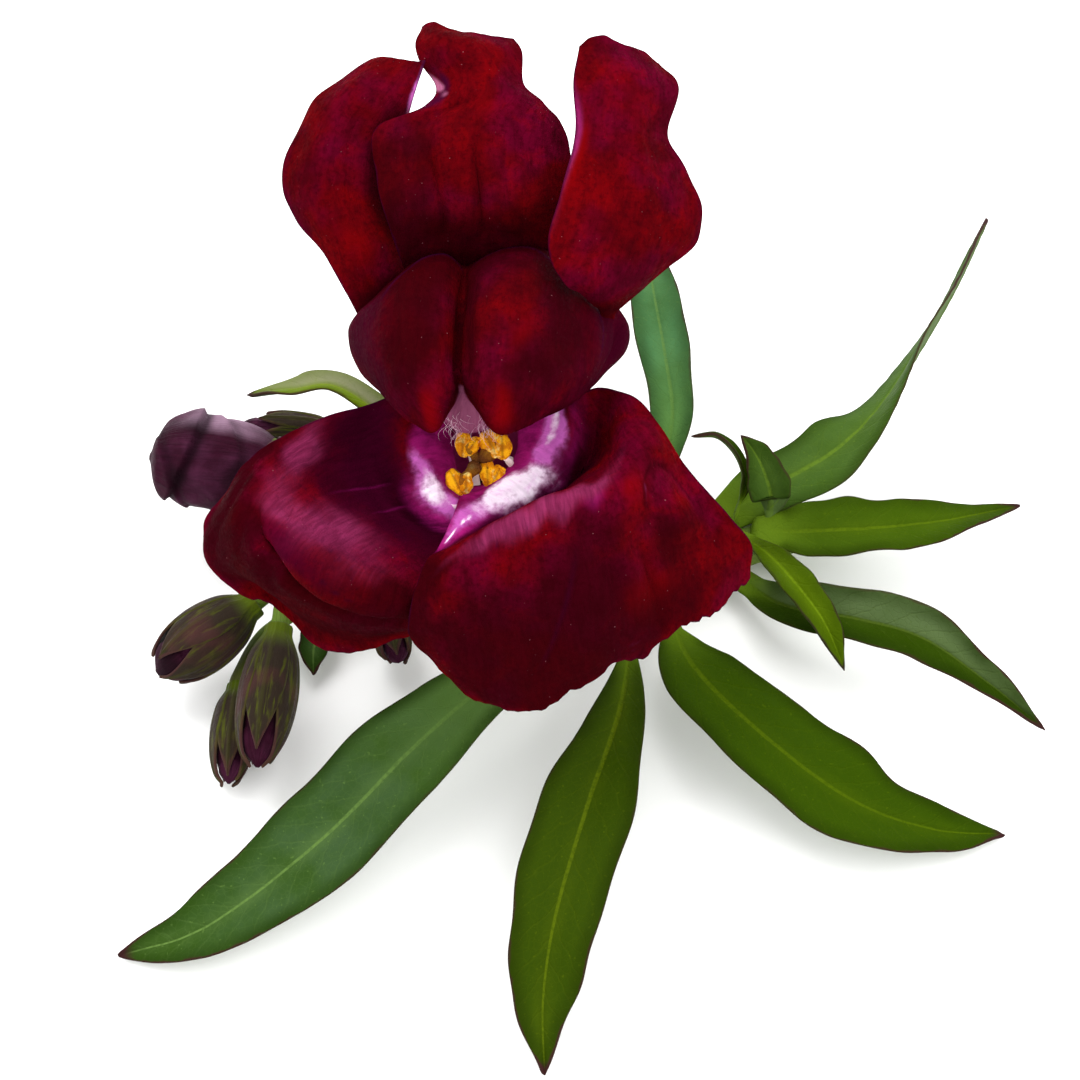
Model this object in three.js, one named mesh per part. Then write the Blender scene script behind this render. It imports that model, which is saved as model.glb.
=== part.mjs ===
// A short cut shoot of snapdragon (Antirrhinum majus) that lies on a flat surface, z = 0: one open crimson
// flower, twelve leaves round two nodes of the stem, and six closed buds at its tip. Millimetres, +Z up,
// with the origin under the middle of the whole. The shoot runs along X, its cut end to the right.
import * as THREE from "three";

// Driving dimensions.
const STEM_CUT_RADIUS = 1.7;
const STEM_TIP_RADIUS = 0.9;
const PETAL_THICKNESS = 0.6;
const PALATE_THICKNESS = 0.7;
const TUBE_WALL = 0.6;
const LEAF_THICKNESS = 0.55;
const SEPAL_THICKNESS = 0.5;
const FLOWER_TILT = THREE.MathUtils.degToRad(35); // the face looks up and towards -Y
const THROAT = [-7.2, -4.3, 23.1]; // the middle of the flower's mouth
const SHOOT_OFFSET = [-0.5, 1.05, -0.15]; // puts the origin under the middle of the whole
const RING_SIDES = 10;

const FINISHES = {
  stem: { color: 0x5d7a2c, roughness: 0.55, metalness: 0 },
  leaf: { color: 0x35581a, roughness: 0.5, metalness: 0 },
  sepal: { color: 0x4c6a2a, roughness: 0.55, metalness: 0 },
  petal: { color: 0x760012, roughness: 0.6, metalness: 0 },
  throat: { color: 0xb65a9c, roughness: 0.5, metalness: 0 },
  anther: { color: 0xf0a818, roughness: 0.7, metalness: 0 },
  filament: { color: 0xf2e4e6, roughness: 0.5, metalness: 0 },
  bud: { color: 0x4a2a44, roughness: 0.6, metalness: 0 },
};

const vec = ([x, y, z]) => new THREE.Vector3(x, y, z);

// A uniform Catmull-Rom curve through the points, sampled at count even steps of its parameter.
function smooth(points, count, closed = false) {
  const curve = new THREE.CatmullRomCurve3(points, closed, "catmullrom", 0.5);
  const last = closed ? count : count - 1;
  return Array.from({ length: count }, (_, k) => curve.getPoint(k / last));
}

// The grid of a smooth sheet through rows of control points: each row is smoothed across, then along.
function smoothSheet(controlRows, across, along) {
  const rows = controlRows.map((row) => smooth(row.map(vec), across));
  const columns = rows[0].map((_, i) => smooth(rows.map((row) => row[i]), along));
  return columns[0].map((_, j) => columns.map((column) => column[j]));
}

// The unit normal of a sheet's grid at row j and column i.
function sheetNormal(grid, j, i) {
  const lastRow = grid.length - 1;
  const lastColumn = grid[0].length - 1;
  const acrossStep = grid[j][Math.min(i + 1, lastColumn)].clone().sub(grid[j][Math.max(i - 1, 0)]);
  const alongStep = grid[Math.min(j + 1, lastRow)][i].clone().sub(grid[Math.max(j - 1, 0)][i]);
  return acrossStep.cross(alongStep).normalize();
}

function geometryOf(points, triangles) {
  const geometry = new THREE.BufferGeometry();
  geometry.setAttribute("position", new THREE.Float32BufferAttribute(points.flatMap((p) => p.toArray()), 3));
  geometry.setIndex(triangles);
  geometry.computeVertexNormals();
  return geometry;
}

// A closed body of even thickness round a sheet's grid.
function thickSheet(grid, thickness) {
  const rows = grid.length;
  const columns = grid[0].length;
  const half = thickness / 2;
  const points = [];
  for (const side of [half, -half]) {
    grid.forEach((row, j) => row.forEach((p, i) => {
      points.push(p.clone().addScaledVector(sheetNormal(grid, j, i), side));
    }));
  }
  const front = (j, i) => j * columns + i;
  const back = (j, i) => rows * columns + front(j, i);
  const triangles = [];
  const quad = (a, b, c, d) => triangles.push(a, b, c, a, c, d);
  for (let j = 0; j < rows - 1; j++) {
    for (let i = 0; i < columns - 1; i++) {
      quad(front(j, i), front(j, i + 1), front(j + 1, i + 1), front(j + 1, i));
      quad(back(j, i), back(j + 1, i), back(j + 1, i + 1), back(j, i + 1));
    }
  }
  const rim = [];
  for (let i = 0; i < columns - 1; i++) rim.push([0, i]);
  for (let j = 0; j < rows - 1; j++) rim.push([j, columns - 1]);
  for (let i = columns - 1; i > 0; i--) rim.push([rows - 1, i]);
  for (let j = rows - 1; j > 0; j--) rim.push([j, 0]);
  rim.forEach(([j, i], k) => {
    const [nextJ, nextI] = rim[(k + 1) % rim.length];
    quad(back(j, i), back(nextJ, nextI), front(nextJ, nextI), front(j, i));
  });
  return geometryOf(points, triangles);
}

// A closed body through rings of points, all with the same count and all turning the same way, with a flat
// fan over the first ring and over the last.
function ringBody(rings) {
  const sides = rings[0].length;
  const points = rings.flat();
  const middle = (ring) => ring.reduce((sum, p) => sum.add(p), new THREE.Vector3()).divideScalar(sides);
  const first = points.push(middle(rings[0])) - 1;
  const last = points.push(middle(rings[rings.length - 1])) - 1;
  const at = (ring, side) => ring * sides + (side % sides);
  const triangles = [];
  for (let side = 0; side < sides; side++) {
    for (let ring = 0; ring < rings.length - 1; ring++) {
      triangles.push(at(ring, side), at(ring, side + 1), at(ring + 1, side + 1));
      triangles.push(at(ring, side), at(ring + 1, side + 1), at(ring + 1, side));
    }
    triangles.push(first, at(0, side + 1), at(0, side));
    triangles.push(last, at(rings.length - 1, side), at(rings.length - 1, side + 1));
  }
  return geometryOf(points, triangles);
}

// Two unit vectors square to a path at one of its points, the second of them as near to up as it can be.
function crossFrame(tangent) {
  const up = Math.abs(tangent.z) > 0.9 ? new THREE.Vector3(0, 1, 0) : new THREE.Vector3(0, 0, 1);
  const side = up.cross(tangent).normalize();
  return [side, tangent.clone().cross(side).normalize()];
}

// Rings round a smooth path, where radiusAt(t, angle) gives the radius for t from 0 to 1 and the angle
// round the path.
function ringsAlong(path, steps, sides, radiusAt) {
  const centres = smooth(path.map(vec), steps);
  return centres.map((centre, k) => {
    const next = centres[Math.min(k + 1, steps - 1)];
    const tangent = next.clone().sub(centres[Math.max(k - 1, 0)]).normalize();
    const [side, up] = crossFrame(tangent);
    return Array.from({ length: sides }, (_, n) => {
      const angle = (2 * Math.PI * n) / sides;
      const radius = radiusAt(k / (steps - 1), angle);
      return centre.clone()
        .addScaledVector(side, radius * Math.cos(angle))
        .addScaledVector(up, radius * Math.sin(angle));
    });
  });
}

function rod(path, startRadius, endRadius, steps = 8, sides = 8) {
  return ringBody(ringsAlong(path, steps, sides, (t) => THREE.MathUtils.lerp(startRadius, endRadius, t)));
}

function named(name, geometry, finish) {
  const mesh = new THREE.Mesh(geometry, new THREE.MeshStandardMaterial(FINISHES[finish]));
  mesh.name = name;
  return mesh;
}

// ---- Stem ------------------------------------------------------------------------------------------------

// The stem's middle line, from the cut end to the tip of the shoot.
const STEM_PATH = [
  [14.4, 4.6, 1.8], [12.0, 3.6, 1.9], [8.1, 1.5, 2.4],
  [3.7, -1.0, 3.0], [-6.4, -0.6, 3.4], [-13.5, -0.6, 3.7],
  [-20.4, -2.6, 4.4],
];

function stem() {
  return named("stem", rod(STEM_PATH, STEM_CUT_RADIUS, STEM_TIP_RADIUS, 20, RING_SIDES), "stem");
}

// ---- Leaves ----------------------------------------------------------------------------------------------

const LEAF_STALK_SHARE = 0.17; // half the stalk's width, as a share of half the blade's
const LEAF_LEAST_HALF = 0.18; // half the width of the narrowest stalk and of each tip
const LEAF_STALK_END = 0.08; // where along the leaf the blade starts to widen

// Half the blade's width at t as a share of its greatest: a narrow stalk, then a lance shape with its
// greatest width at the given place, narrowing to a point.
function leafWidth(t, widest) {
  const along = Math.max(0, (t - LEAF_STALK_END) / (1 - LEAF_STALK_END));
  const power = Math.log(0.5) / Math.log(widest);
  const lance = Math.sin(Math.PI * along ** power) ** 0.85;
  return Math.max(lance, LEAF_STALK_SHARE * (1 - t));
}

// One leaf. spine: points of the midrib from stalk to tip. half: half the greatest width, and widest: where
// along the leaf it is. fold: how steeply, in degrees, each side of the blade rises from the midrib. roll:
// how far the blade is turned about its midrib at each point of the spine, in degrees.
const LEAVES = {
  leaf_front_left: {
    spine: [
      [0.8, -3.1, 2.7], [-5.4, -9.2, 5.4], [-11.5, -15.6, 6.0], [-18.0, -22.4, 4.6], [-25.5, -27.5, 2.1],
      [-31.4, -28.9, 0.6],
    ],
    half: 3.6, widest: 0.48, fold: 12, roll: [10, 8, 4, 0, -4, -6],
  },
  leaf_front: {
    spine: [
      [3.2, -2.9, 2.4], [2.0, -12.4, 5.2], [-0.4, -20.6, 5.8], [-2.5, -27.9, 4.4], [-3.3, -32.8, 2.2],
      [-3.2, -37.3, 0.6],
    ],
    half: 3.1, widest: 0.46, fold: 18, roll: [0, -4, -6, -4, 0, 0],
  },
  leaf_front_right: {
    spine: [
      [5.5, -2.4, 2.4], [7.9, -8.6, 4.4], [12.3, -14.6, 4.8], [17.8, -18.8, 3.6], [23.2, -20.1, 2.0],
      [28.2, -19.8, 0.6],
    ],
    half: 3.6, widest: 0.42, fold: 12, roll: [-10, -8, -4, 0, 0, 0],
  },
  leaf_right_low: {
    spine: [
      [10.6, 0.5, 2.0], [13.8, -3.2, 3.8], [18.5, -5.2, 5.2], [23.2, -6.6, 4.8], [27.7, -9.1, 3.0],
      [31.8, -11.7, 0.9],
    ],
    half: 2.0, widest: 0.45, fold: 24, roll: [10, 14, 16, 16, 10, 0],
  },
  leaf_right: {
    spine: [[12.2, 2.9, 4.1], [15.8, 2.5, 4.8], [20.4, 2.5, 5.2], [25.6, 4.0, 4.0], [32.1, 7.6, 0.9]],
    half: 2.4, widest: 0.42, fold: 14, roll: [0, 0, 0, 4, 6],
  },
  leaf_back_right: {
    spine: [
      [9.7, 4.7, 3.2], [13.2, 6.9, 4.0], [17.8, 9.2, 5.2], [21.3, 12.5, 6.0], [24.8, 18.5, 5.6],
      [28.5, 26.1, 4.2], [32.3, 35.5, 1.5],
    ],
    half: 2.5, widest: 0.36, fold: 12, roll: [0, 0, -4, -45, -70, -76, -76],
  },
  leaf_back: {
    spine: [
      [3.2, 0.8, 3.5], [4.9, 6.6, 4.8], [6.2, 11.6, 6.2],
      [5.8, 16.6, 7.2], [5.1, 22.5, 7.4], [4.8, 28.0, 5.8],
      [4.6, 32.6, 3.6],
    ],
    half: 1.9, widest: 0.5, fold: 16, roll: [0, 0, -6, -10, -8, 0, 0],
  },
  leaf_small_left: {
    spine: [
      [-13.2, 0.8, 4.2], [-13.4, 5.2, 6.8], [-14.8, 9.0, 9.4], [-18.1, 11.0, 10.8], [-21.3, 11.2, 10.2],
      [-24.8, 12.0, 8.6],
    ],
    half: 1.6, widest: 0.6, fold: 20, roll: [0, 10, 20, 24, 24, 16],
  },
  leaf_small_low: {
    spine: [[-17.8, -2.3, 2.6], [-18.9, -3.7, 2.4], [-19.5, -5.5, 2.0], [-19.5, -7.5, 1.4]],
    half: 1.2, widest: 0.5, fold: 16, roll: [0, 0, 0, 0],
  },
  leaf_young_upright: {
    spine: [[13.1, 4.2, 4.0], [13.1, 4.9, 6.0], [12.2, 6.3, 8.1], [10.8, 7.1, 10.2]],
    half: 1.5, widest: 0.42, fold: 22, roll: [-20, -20, -20, -20],
  },
  leaf_young_curled: {
    spine: [[10.6, 4.0, 4.6], [11.3, 5.9, 6.4], [10.5, 7.2, 8.0], [9.1, 8.1, 8.8], [7.3, 7.9, 9.0]],
    half: 0.55, widest: 0.45, fold: 24, roll: [20, 30, 40, 45, 45],
  },
  leaf_young_bright: {
    spine: [[10.8, 1.8, 3.9], [12.5, -0.6, 6.4], [14.3, -4.0, 7.6], [16.1, -6.7, 7.2], [17.5, -9.5, 5.2]],
    half: 1.35, widest: 0.55, fold: 26, roll: [0, 0, 0, 0, 0],
  },
};

// The blade's grid: across it runs from one margin to the other over the midrib.
function leafGrid({ spine, half, widest, fold, roll }, across = 5, along = 12) {
  const line = smooth(spine.map(vec), along);
  const turns = smooth(roll.map((degrees) => new THREE.Vector3(degrees, 0, 0)), along);
  const rise = Math.tan(THREE.MathUtils.degToRad(fold));
  return line.map((centre, j) => {
    const tangent = line[Math.min(j + 1, along - 1)].clone().sub(line[Math.max(j - 1, 0)]).normalize();
    const turn = THREE.MathUtils.degToRad(turns[j].x);
    const [side, up] = crossFrame(tangent).map((axis) => axis.applyAxisAngle(tangent, turn));
    const width = Math.max(LEAF_LEAST_HALF, half * leafWidth(j / (along - 1), widest));
    return Array.from({ length: across }, (_, i) => {
      const s = (2 * i) / (across - 1) - 1;
      return centre.clone()
        .addScaledVector(side, s * width)
        .addScaledVector(up, Math.abs(s) * width * rise);
    });
  });
}

function leaves() {
  return Object.entries(LEAVES).map(([name, leaf]) => (
    named(name, thickSheet(leafGrid(leaf), LEAF_THICKNESS), "leaf")
  ));
}

// ---- Open flower -----------------------------------------------------------------------------------------
// In the flower's own frame the face looks along +Z, the lower lip is at +Y and the upper lip at -Y, and the
// origin is the middle of the mouth.

// The mouth's rim, from the right corner over the lower lip's side to the left corner and back below.
const TUBE_RIM = [
  [5.2, 3.4, -0.9], [4.6, 5.6, -1.8], [2.6, 7.2, -2.3],
  [-0.2, 7.6, -2.5], [-3.0, 7.0, -2.3], [-4.8, 5.4, -1.8],
  [-5.2, 3.2, -0.9], [-4.8, 0.8, -0.6], [-4.0, -1.7, -0.3], [-2.1, -3.8, 0.0], [1.0, -2.5, -0.2],
  [3.6, -1.0, -0.4], [4.9, 1.0, -0.6],
];
const TUBE_CENTRE = [0, 1.8];
// The tube below its rim: depth, middle, half width and half height of each section, to the base.
const TUBE_SECTIONS = [
  { z: -3.5, x: 0.0, y: 1.6, width: 5.0, height: 5.2 },
  { z: -7.5, x: 0.2, y: 0.8, width: 4.7, height: 4.4 },
  { z: -11.0, x: 0.6, y: -0.4, width: 4.4, height: 4.0 },
  { z: -13.6, x: 0.9, y: -1.8, width: 3.8, height: 3.4 },
  { z: -15.2, x: 1.0, y: -2.8, width: 2.4, height: 2.2 },
];
const TUBE_SIDES = 24;

// The tube's rings from the base to the rim, drawn in by the given inset.
function tubeRings(inset) {
  const rim = smooth(TUBE_RIM.map(vec), TUBE_SIDES, true);
  const bearing = rim.map((p) => Math.atan2(p.y - TUBE_CENTRE[1], p.x - TUBE_CENTRE[0]));
  const sections = TUBE_SECTIONS.map(({ z, x, y, width, height }) => bearing.map((angle) => (
    new THREE.Vector3(x + (width - inset) * Math.cos(angle), y + (height - inset) * Math.sin(angle), z)
  )));
  const mouth = rim.map((p) => {
    const inward = new THREE.Vector3(TUBE_CENTRE[0] - p.x, TUBE_CENTRE[1] - p.y, 0).normalize();
    return p.clone().addScaledVector(inward, inset);
  });
  return [...sections.reverse(), mouth];
}

function corollaTube() {
  const inner = tubeRings(TUBE_WALL).reverse();
  const floor = inner[inner.length - 1];
  floor.forEach((p) => { p.z += TUBE_WALL; });
  return named("corolla_tube", ringBody([...tubeRings(0), ...inner]), "throat");
}

// Control rows of each petal, from the base outwards, each row from left to right.
const PETALS = {
  petal_upper_left: [
    [[-5.7, 3.9, -1.1], [-5.4, 1.2, -0.9], [-4.9, -1.3, -0.6], [-3.9, -3.3, -0.2], [-2.6, -4.6, 0.0]],
    [[-7.4, 3.3, -1.4], [-7.8, 0.6, -2.8], [-7.2, -2.0, -3.0], [-5.6, -4.0, -2.0], [-2.6, -5.6, -0.6]],
    [[-10.2, 2.5, -0.8], [-11.0, -0.6, -0.6], [-10.2, -3.2, 0.2], [-7.2, -5.4, 1.2], [-3.0, -7.0, 0.8]],
    [[-13.2, 1.0, 0.2], [-13.9, -2.0, 2.2], [-12.3, -5.0, 3.6], [-8.8, -7.6, 4.4], [-3.8, -8.6, 2.6]],
    [[-15.2, -0.6, 0.4], [-15.6, -3.8, 2.4], [-13.2, -7.0, 3.6], [-9.0, -9.7, 3.8], [-4.0, -10.0, 2.4]],
    [
      [-16.7, -2.4, -0.8], [-17.2, -5.2, -0.4], [-14.2, -8.3, 0.4], [-9.4, -10.7, 0.8],
      [-4.2, -11.0, 0.6],
    ],
    [
      [-18.1, -4.0, -1.8], [-17.8, -7.0, -2.6], [-13.6, -9.4, -3.0], [-9.6, -11.6, -2.4],
      [-4.6, -11.6, -1.4],
    ],
    [
      [-18.3, -5.2, -2.2], [-16.8, -8.6, -3.4], [-12.8, -11.4, -3.8], [-9.4, -13.0, -3.6],
      [-4.8, -11.9, -2.2],
    ],
  ],
  petal_upper_right: [
    [
      [-2.0, -4.4, 0.9], [0.6, -3.4, 0.6], [3.0, -2.3, 0.3], [4.7, -0.9, 0.0],
      [5.6, 1.2, -0.3], [5.8, 3.7, -0.9],
    ],
    [
      [-2.8, -6.0, 2.4], [0.2, -4.9, 1.4], [3.2, -3.9, 0.0], [6.0, -1.9, -1.8],
      [7.4, 0.6, -2.4], [7.6, 4.4, -1.4],
    ],
    [
      [-3.4, -7.2, 4.6], [-0.6, -5.4, 5.6], [2.4, -3.8, 6.2], [5.6, -2.5, 5.9],
      [8.4, -1.0, 4.2], [9.8, 3.6, 0.6],
    ],
    [
      [-4.2, -8.8, 4.4], [-1.2, -7.4, 5.8], [2.4, -6.2, 6.6], [6.2, -4.6, 6.7],
      [9.6, -2.2, 5.4], [11.3, 1.9, 2.0],
    ],
    [
      [-4.6, -10.6, 3.0], [-1.4, -10.2, 4.8], [2.6, -9.6, 5.6], [7.0, -8.2, 5.7],
      [11.2, -5.0, 4.0], [13.4, -1.1, 1.8],
    ],
    [
      [-4.5, -11.7, 1.6], [-1.4, -12.4, 3.4], [2.9, -12.4, 4.2], [7.6, -11.0, 4.4],
      [12.6, -7.4, 2.6], [15.8, -4.0, 0.9],
    ],
    [
      [-4.1, -12.6, 0.6], [-1.0, -14.4, 1.8], [3.1, -14.6, 2.4], [8.0, -12.8, 2.6],
      [13.6, -9.2, 1.4], [17.3, -5.7, -0.2],
    ],
    [
      [-3.6, -13.1, 0.0], [-0.2, -15.9, 0.4], [3.6, -16.4, 0.8], [8.4, -13.8, 1.2],
      [14.0, -10.6, 0.8], [17.4, -7.6, -0.8],
    ],
  ],
  petal_lower_left: [
    [[-8.2, 9.2, -1.4], [-7.4, 10.0, -1.4], [-6.6, 10.8, -1.7], [-5.8, 11.2, -2.2]],
    [[-10.2, 13.2, -0.8], [-8.7, 13.6, 0.4], [-7.2, 13.8, 0.0], [-5.8, 14.2, -1.8]],
    [[-12.8, 17.2, -1.4], [-10.4, 17.0, 0.6], [-8.0, 16.9, 0.2], [-5.6, 17.0, -1.4]],
    [[-12.0, 21.2, -1.8], [-9.9, 20.7, 0.4], [-7.8, 20.5, 0.2], [-5.2, 20.4, -1.4]],
    [[-10.1, 23.9, -1.8], [-8.4, 23.4, 0.0], [-6.6, 22.9, 0.0], [-4.6, 22.6, -0.4]],
    [[-7.4, 25.8, -2.4], [-6.2, 25.7, -1.6], [-5.0, 25.4, -0.6], [-3.9, 24.8, 0.6]],
  ],
  petal_lower_middle: [
    [[-5.0, 11.6, -2.0], [-3.2, 11.9, -1.8], [-0.8, 11.7, -2.3], [1.8, 12.0, -1.8], [4.2, 11.9, -1.8]],
    [[-5.6, 13.4, 0.1], [-3.6, 13.8, 0.3], [-0.8, 13.6, -0.2], [2.0, 14.0, 0.3], [4.5, 13.9, 0.0]],
    [[-6.3, 15.6, 1.4], [-3.8, 15.6, 2.4], [-0.8, 15.7, 2.0], [2.1, 15.8, 2.4], [4.9, 15.9, 1.2]],
    [[-7.0, 18.9, 1.2], [-4.1, 19.0, 2.2], [-1.2, 18.8, 2.6], [2.1, 18.8, 2.4], [5.7, 18.4, 0.8]],
    [[-6.7, 21.1, 0.9], [-3.9, 21.4, 1.2], [-1.1, 21.4, 2.2], [1.8, 21.3, 2.2], [5.2, 21.2, 0.4]],
    [[-3.6, 22.2, 0.6], [-1.9, 22.5, 1.6], [-0.1, 22.6, 2.0], [2.0, 22.6, 1.8], [3.9, 22.6, 0.2]],
    [[-2.4, 23.8, 0.2], [-1.2, 23.9, 1.2], [0.1, 24.0, 1.5], [1.4, 23.8, 1.2], [2.6, 23.7, 0.0]],
    [[-4.2, 26.2, -0.6], [-2.8, 26.3, 0.6], [-1.2, 26.2, 0.8], [0.6, 25.8, 0.4], [2.2, 25.6, -0.6]],
    [[-4.0, 27.6, -1.6], [-3.0, 27.9, -1.0], [-1.6, 27.5, -0.8], [0.0, 27.2, -1.0], [1.5, 26.6, -1.8]],
  ],
  petal_lower_right: [
    [[7.4, 9.3, 1.6], [7.9, 9.2, 1.4], [8.3, 9.2, 1.0], [8.8, 9.3, 0.6]],
    [[5.0, 10.9, 4.4], [6.8, 10.8, 4.4], [8.9, 11.0, 3.2], [11.4, 11.4, 0.2]],
    [[4.2, 13.2, 4.2], [7.0, 13.6, 4.2], [10.2, 14.0, 2.8], [14.0, 14.0, -0.4]],
    [[5.0, 16.4, 3.8], [7.7, 16.8, 3.6], [10.6, 17.4, 2.4], [13.8, 17.0, -0.4]],
    [[5.9, 20.2, 3.4], [7.9, 20.3, 3.0], [9.9, 20.5, 2.0], [11.9, 20.4, 0.2]],
    [[5.8, 23.6, 2.6], [7.9, 23.8, 2.4], [10.2, 23.6, 1.6], [12.4, 23.6, -0.4]],
    [[6.2, 26.0, 1.0], [7.5, 26.6, 0.8], [9.3, 26.2, 0.2], [11.4, 25.3, -1.0]],
  ],
};

function petals() {
  return Object.entries(PETALS).map(([name, rows]) => {
    const grid = smoothSheet(rows, 9, 12);
    return named(name, thickSheet(grid, PETAL_THICKNESS), "petal");
  });
}

// The palate's control rows, from the crease under the lower lip's petals, down the front of the double
// cushion, round its edge and back up into the throat, each row from left to right.
const PALATE_ROWS = [
  [
    [-8.2, 8.6, -0.9], [-6.6, 10.2, 0.2], [-4.6, 12.0, 0.2], [-2.6, 12.7, 0.2], [-1.1, 12.0, -0.6],
    [0.4, 12.7, 0.2], [2.6, 13.2, 0.2], [4.8, 12.4, 0.0], [7.0, 10.0, -0.4], [8.7, 9.4, -1.4],
  ],
  [
    [-8.6, 8.0, -1.2], [-7.0, 8.9, 2.2], [-5.0, 10.2, 3.8], [-2.8, 10.9, 3.4], [-1.2, 10.3, 1.0],
    [0.4, 10.9, 3.6], [2.7, 11.2, 3.8], [5.0, 10.2, 2.8], [7.2, 8.8, 1.0], [9.3, 8.2, -1.4],
  ],
  [
    [-8.4, 6.6, -1.2], [-6.9, 6.6, 3.2], [-5.0, 7.2, 5.4], [-2.9, 7.6, 5.6], [-1.4, 7.2, 2.6],
    [0.2, 7.6, 5.7], [2.6, 7.6, 6.0], [5.0, 7.0, 4.6], [7.1, 6.6, 2.2], [9.2, 7.0, -1.4],
  ],
  [
    [-7.6, 5.2, -1.2], [-6.3, 4.4, 3.0], [-4.8, 4.2, 5.6], [-2.9, 4.2, 6.4], [-1.4, 4.8, 3.8],
    [0.2, 4.3, 6.4], [2.3, 4.2, 6.6], [4.6, 4.2, 5.0], [6.5, 4.6, 2.4], [8.2, 5.8, -1.2],
  ],
  [
    [-6.6, 4.4, -0.8], [-5.2, 2.8, 1.8], [-4.0, 1.9, 4.6], [-2.8, 1.5, 5.6], [-1.2, 4.1, 3.2],
    [0.6, 1.6, 5.6], [2.0, 1.4, 5.6], [3.9, 2.3, 3.8], [5.6, 3.4, 1.8], [6.9, 4.6, -0.6],
  ],
  [
    [-5.4, 4.6, 0.2], [-4.6, 3.8, 1.0], [-3.7, 3.2, 2.4], [-2.6, 3.0, 3.2], [-1.2, 4.2, 1.8],
    [0.5, 3.0, 3.2], [1.8, 3.0, 3.0], [3.4, 3.4, 2.0], [4.6, 4.2, 1.0], [5.4, 5.0, 0.4],
  ],
  [
    [-4.4, 5.0, -0.4], [-3.6, 4.9, -0.4], [-2.8, 4.9, -0.2], [-1.9, 5.0, 0.0], [-0.9, 5.2, -0.2],
    [0.3, 5.0, 0.0], [1.3, 4.9, 0.0], [2.5, 5.0, -0.2], [3.5, 5.2, -0.4], [4.3, 5.4, -0.4],
  ],
];

function palate() {
  return named("palate", thickSheet(smoothSheet(PALATE_ROWS, 19, 12), PALATE_THICKNESS), "petal");
}

// The filaments rise from the tube's floor, round the ovary, to the anthers.
const STAMENS = [
  { name: "upper_left", foot: [-0.6, -2.2, -12.6], anther: [-1.2, 0.7, -1.6], size: 0.75 },
  { name: "upper_right", foot: [2.6, -2.0, -12.6], anther: [1.0, 0.7, -1.4], size: 1.0 },
  { name: "lower_left", foot: [0.1, -3.7, -12.6], anther: [-1.5, -1.7, -1.4], size: 0.8 },
  { name: "lower_right", foot: [2.0, -3.5, -12.6], anther: [0.7, -1.3, -1.8], size: 0.75 },
];
const FILAMENT_RADIUS = 0.22;
const ANTHER_HALF_HEIGHT = 0.75; // as a share of its size, which is its half width
const ANTHER_GROOVE = 0.22; // how deep the groove between its pollen sacs is, as a share of its half width
const ANTHER_END = 0.06; // keeps the ball's two ends blunt
const ANTHER_GAP = 0.35; // between a filament's top and its anther
const FILAMENT_BOW = 0.6; // how far a filament's middle stands off the tube's wall
const OVARY = { foot: [1.0, -2.6, -13.9], top: [0.8, -2.0, -10.9], radius: 0.95 };
const OVARY_END = 0.1; // keeps the egg shape's two ends blunt
const STYLE_PATH = [[0.75, -1.9, -10.5], [0.3, -1.0, -7.0], [-0.1, -0.4, -4.0], [-0.2, -0.2, -2.8]];

function filament({ name, foot, anther, size }) {
  const top = [anther[0], anther[1], anther[2] - ANTHER_HALF_HEIGHT * size - ANTHER_GAP];
  const bend = foot.map((value, k) => (value + anther[k]) / 2);
  bend[1] += FILAMENT_BOW;
  const geometry = rod([foot, bend, top], FILAMENT_RADIUS, FILAMENT_RADIUS, 7, 6);
  return named(`filament_${name}`, geometry, "filament");
}

// An anther is a flattened ball with a groove between its two pollen sacs.
function anther({ name, anther: [x, y, z], size }) {
  const reach = ANTHER_HALF_HEIGHT * size;
  const rings = ringsAlong([[x, y, z - reach], [x, y, z + reach]], 7, RING_SIDES, (t, angle) => {
    const belly = Math.sqrt(Math.max(ANTHER_END, 1 - (2 * t - 1) ** 2));
    return size * belly * (1 - ANTHER_GROOVE * Math.abs(Math.sin(angle)));
  });
  return named(`anther_${name}`, ringBody(rings), "anther");
}

function ovary() {
  const { foot, top, radius } = OVARY;
  const belly = (t) => Math.sqrt(Math.max(OVARY_END, 1 - (1.9 * t - 0.9) ** 2));
  const rings = ringsAlong([foot, top], 7, RING_SIDES, (t) => radius * belly(t));
  return named("ovary", ringBody(rings), "sepal");
}

function style() {
  return named("style", rod(STYLE_PATH, 0.2, 0.3, 7, 6), "filament");
}

// Five sepals stand round the tube's base, each a small oval blade that follows the tube's outside.
const SEPAL_SECTIONS = [
  { z: -15.9, x: 1.0, y: -3.0, reach: 1.3 },
  { z: -15.3, x: 1.0, y: -2.9, reach: 3.3 },
  { z: -13.8, x: 0.9, y: -1.9, reach: 4.6 },
  { z: -11.8, x: 0.7, y: -0.8, reach: 5.0 },
  { z: -9.8, x: 0.5, y: 0.1, reach: 5.3 },
];
const SEPAL_HALF_WIDTHS = [0.5, 1.5, 1.9, 1.4, 0.3];

function sepal(number) {
  const bearing = (2 * Math.PI * number) / 5 + Math.PI / 2;
  const rows = SEPAL_SECTIONS.map(({ z, x, y, reach }, k) => [-1, -0.5, 0, 0.5, 1].map((s) => {
    const angle = bearing + (s * SEPAL_HALF_WIDTHS[k]) / reach;
    return [x + reach * Math.cos(angle), y + reach * Math.sin(angle), z];
  }));
  return named(`sepal_${number + 1}`, thickSheet(smoothSheet(rows, 5, 8), SEPAL_THICKNESS), "sepal");
}

function openFlower() {
  const flower = new THREE.Group();
  flower.position.set(...THROAT);
  flower.rotation.x = FLOWER_TILT;
  flower.add(corollaTube(), palate(), ...petals());
  flower.add(...STAMENS.map(filament), ...STAMENS.map(anther), ovary(), style());
  flower.add(...[0, 1, 2, 3, 4].map(sepal));
  return flower;
}

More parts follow.
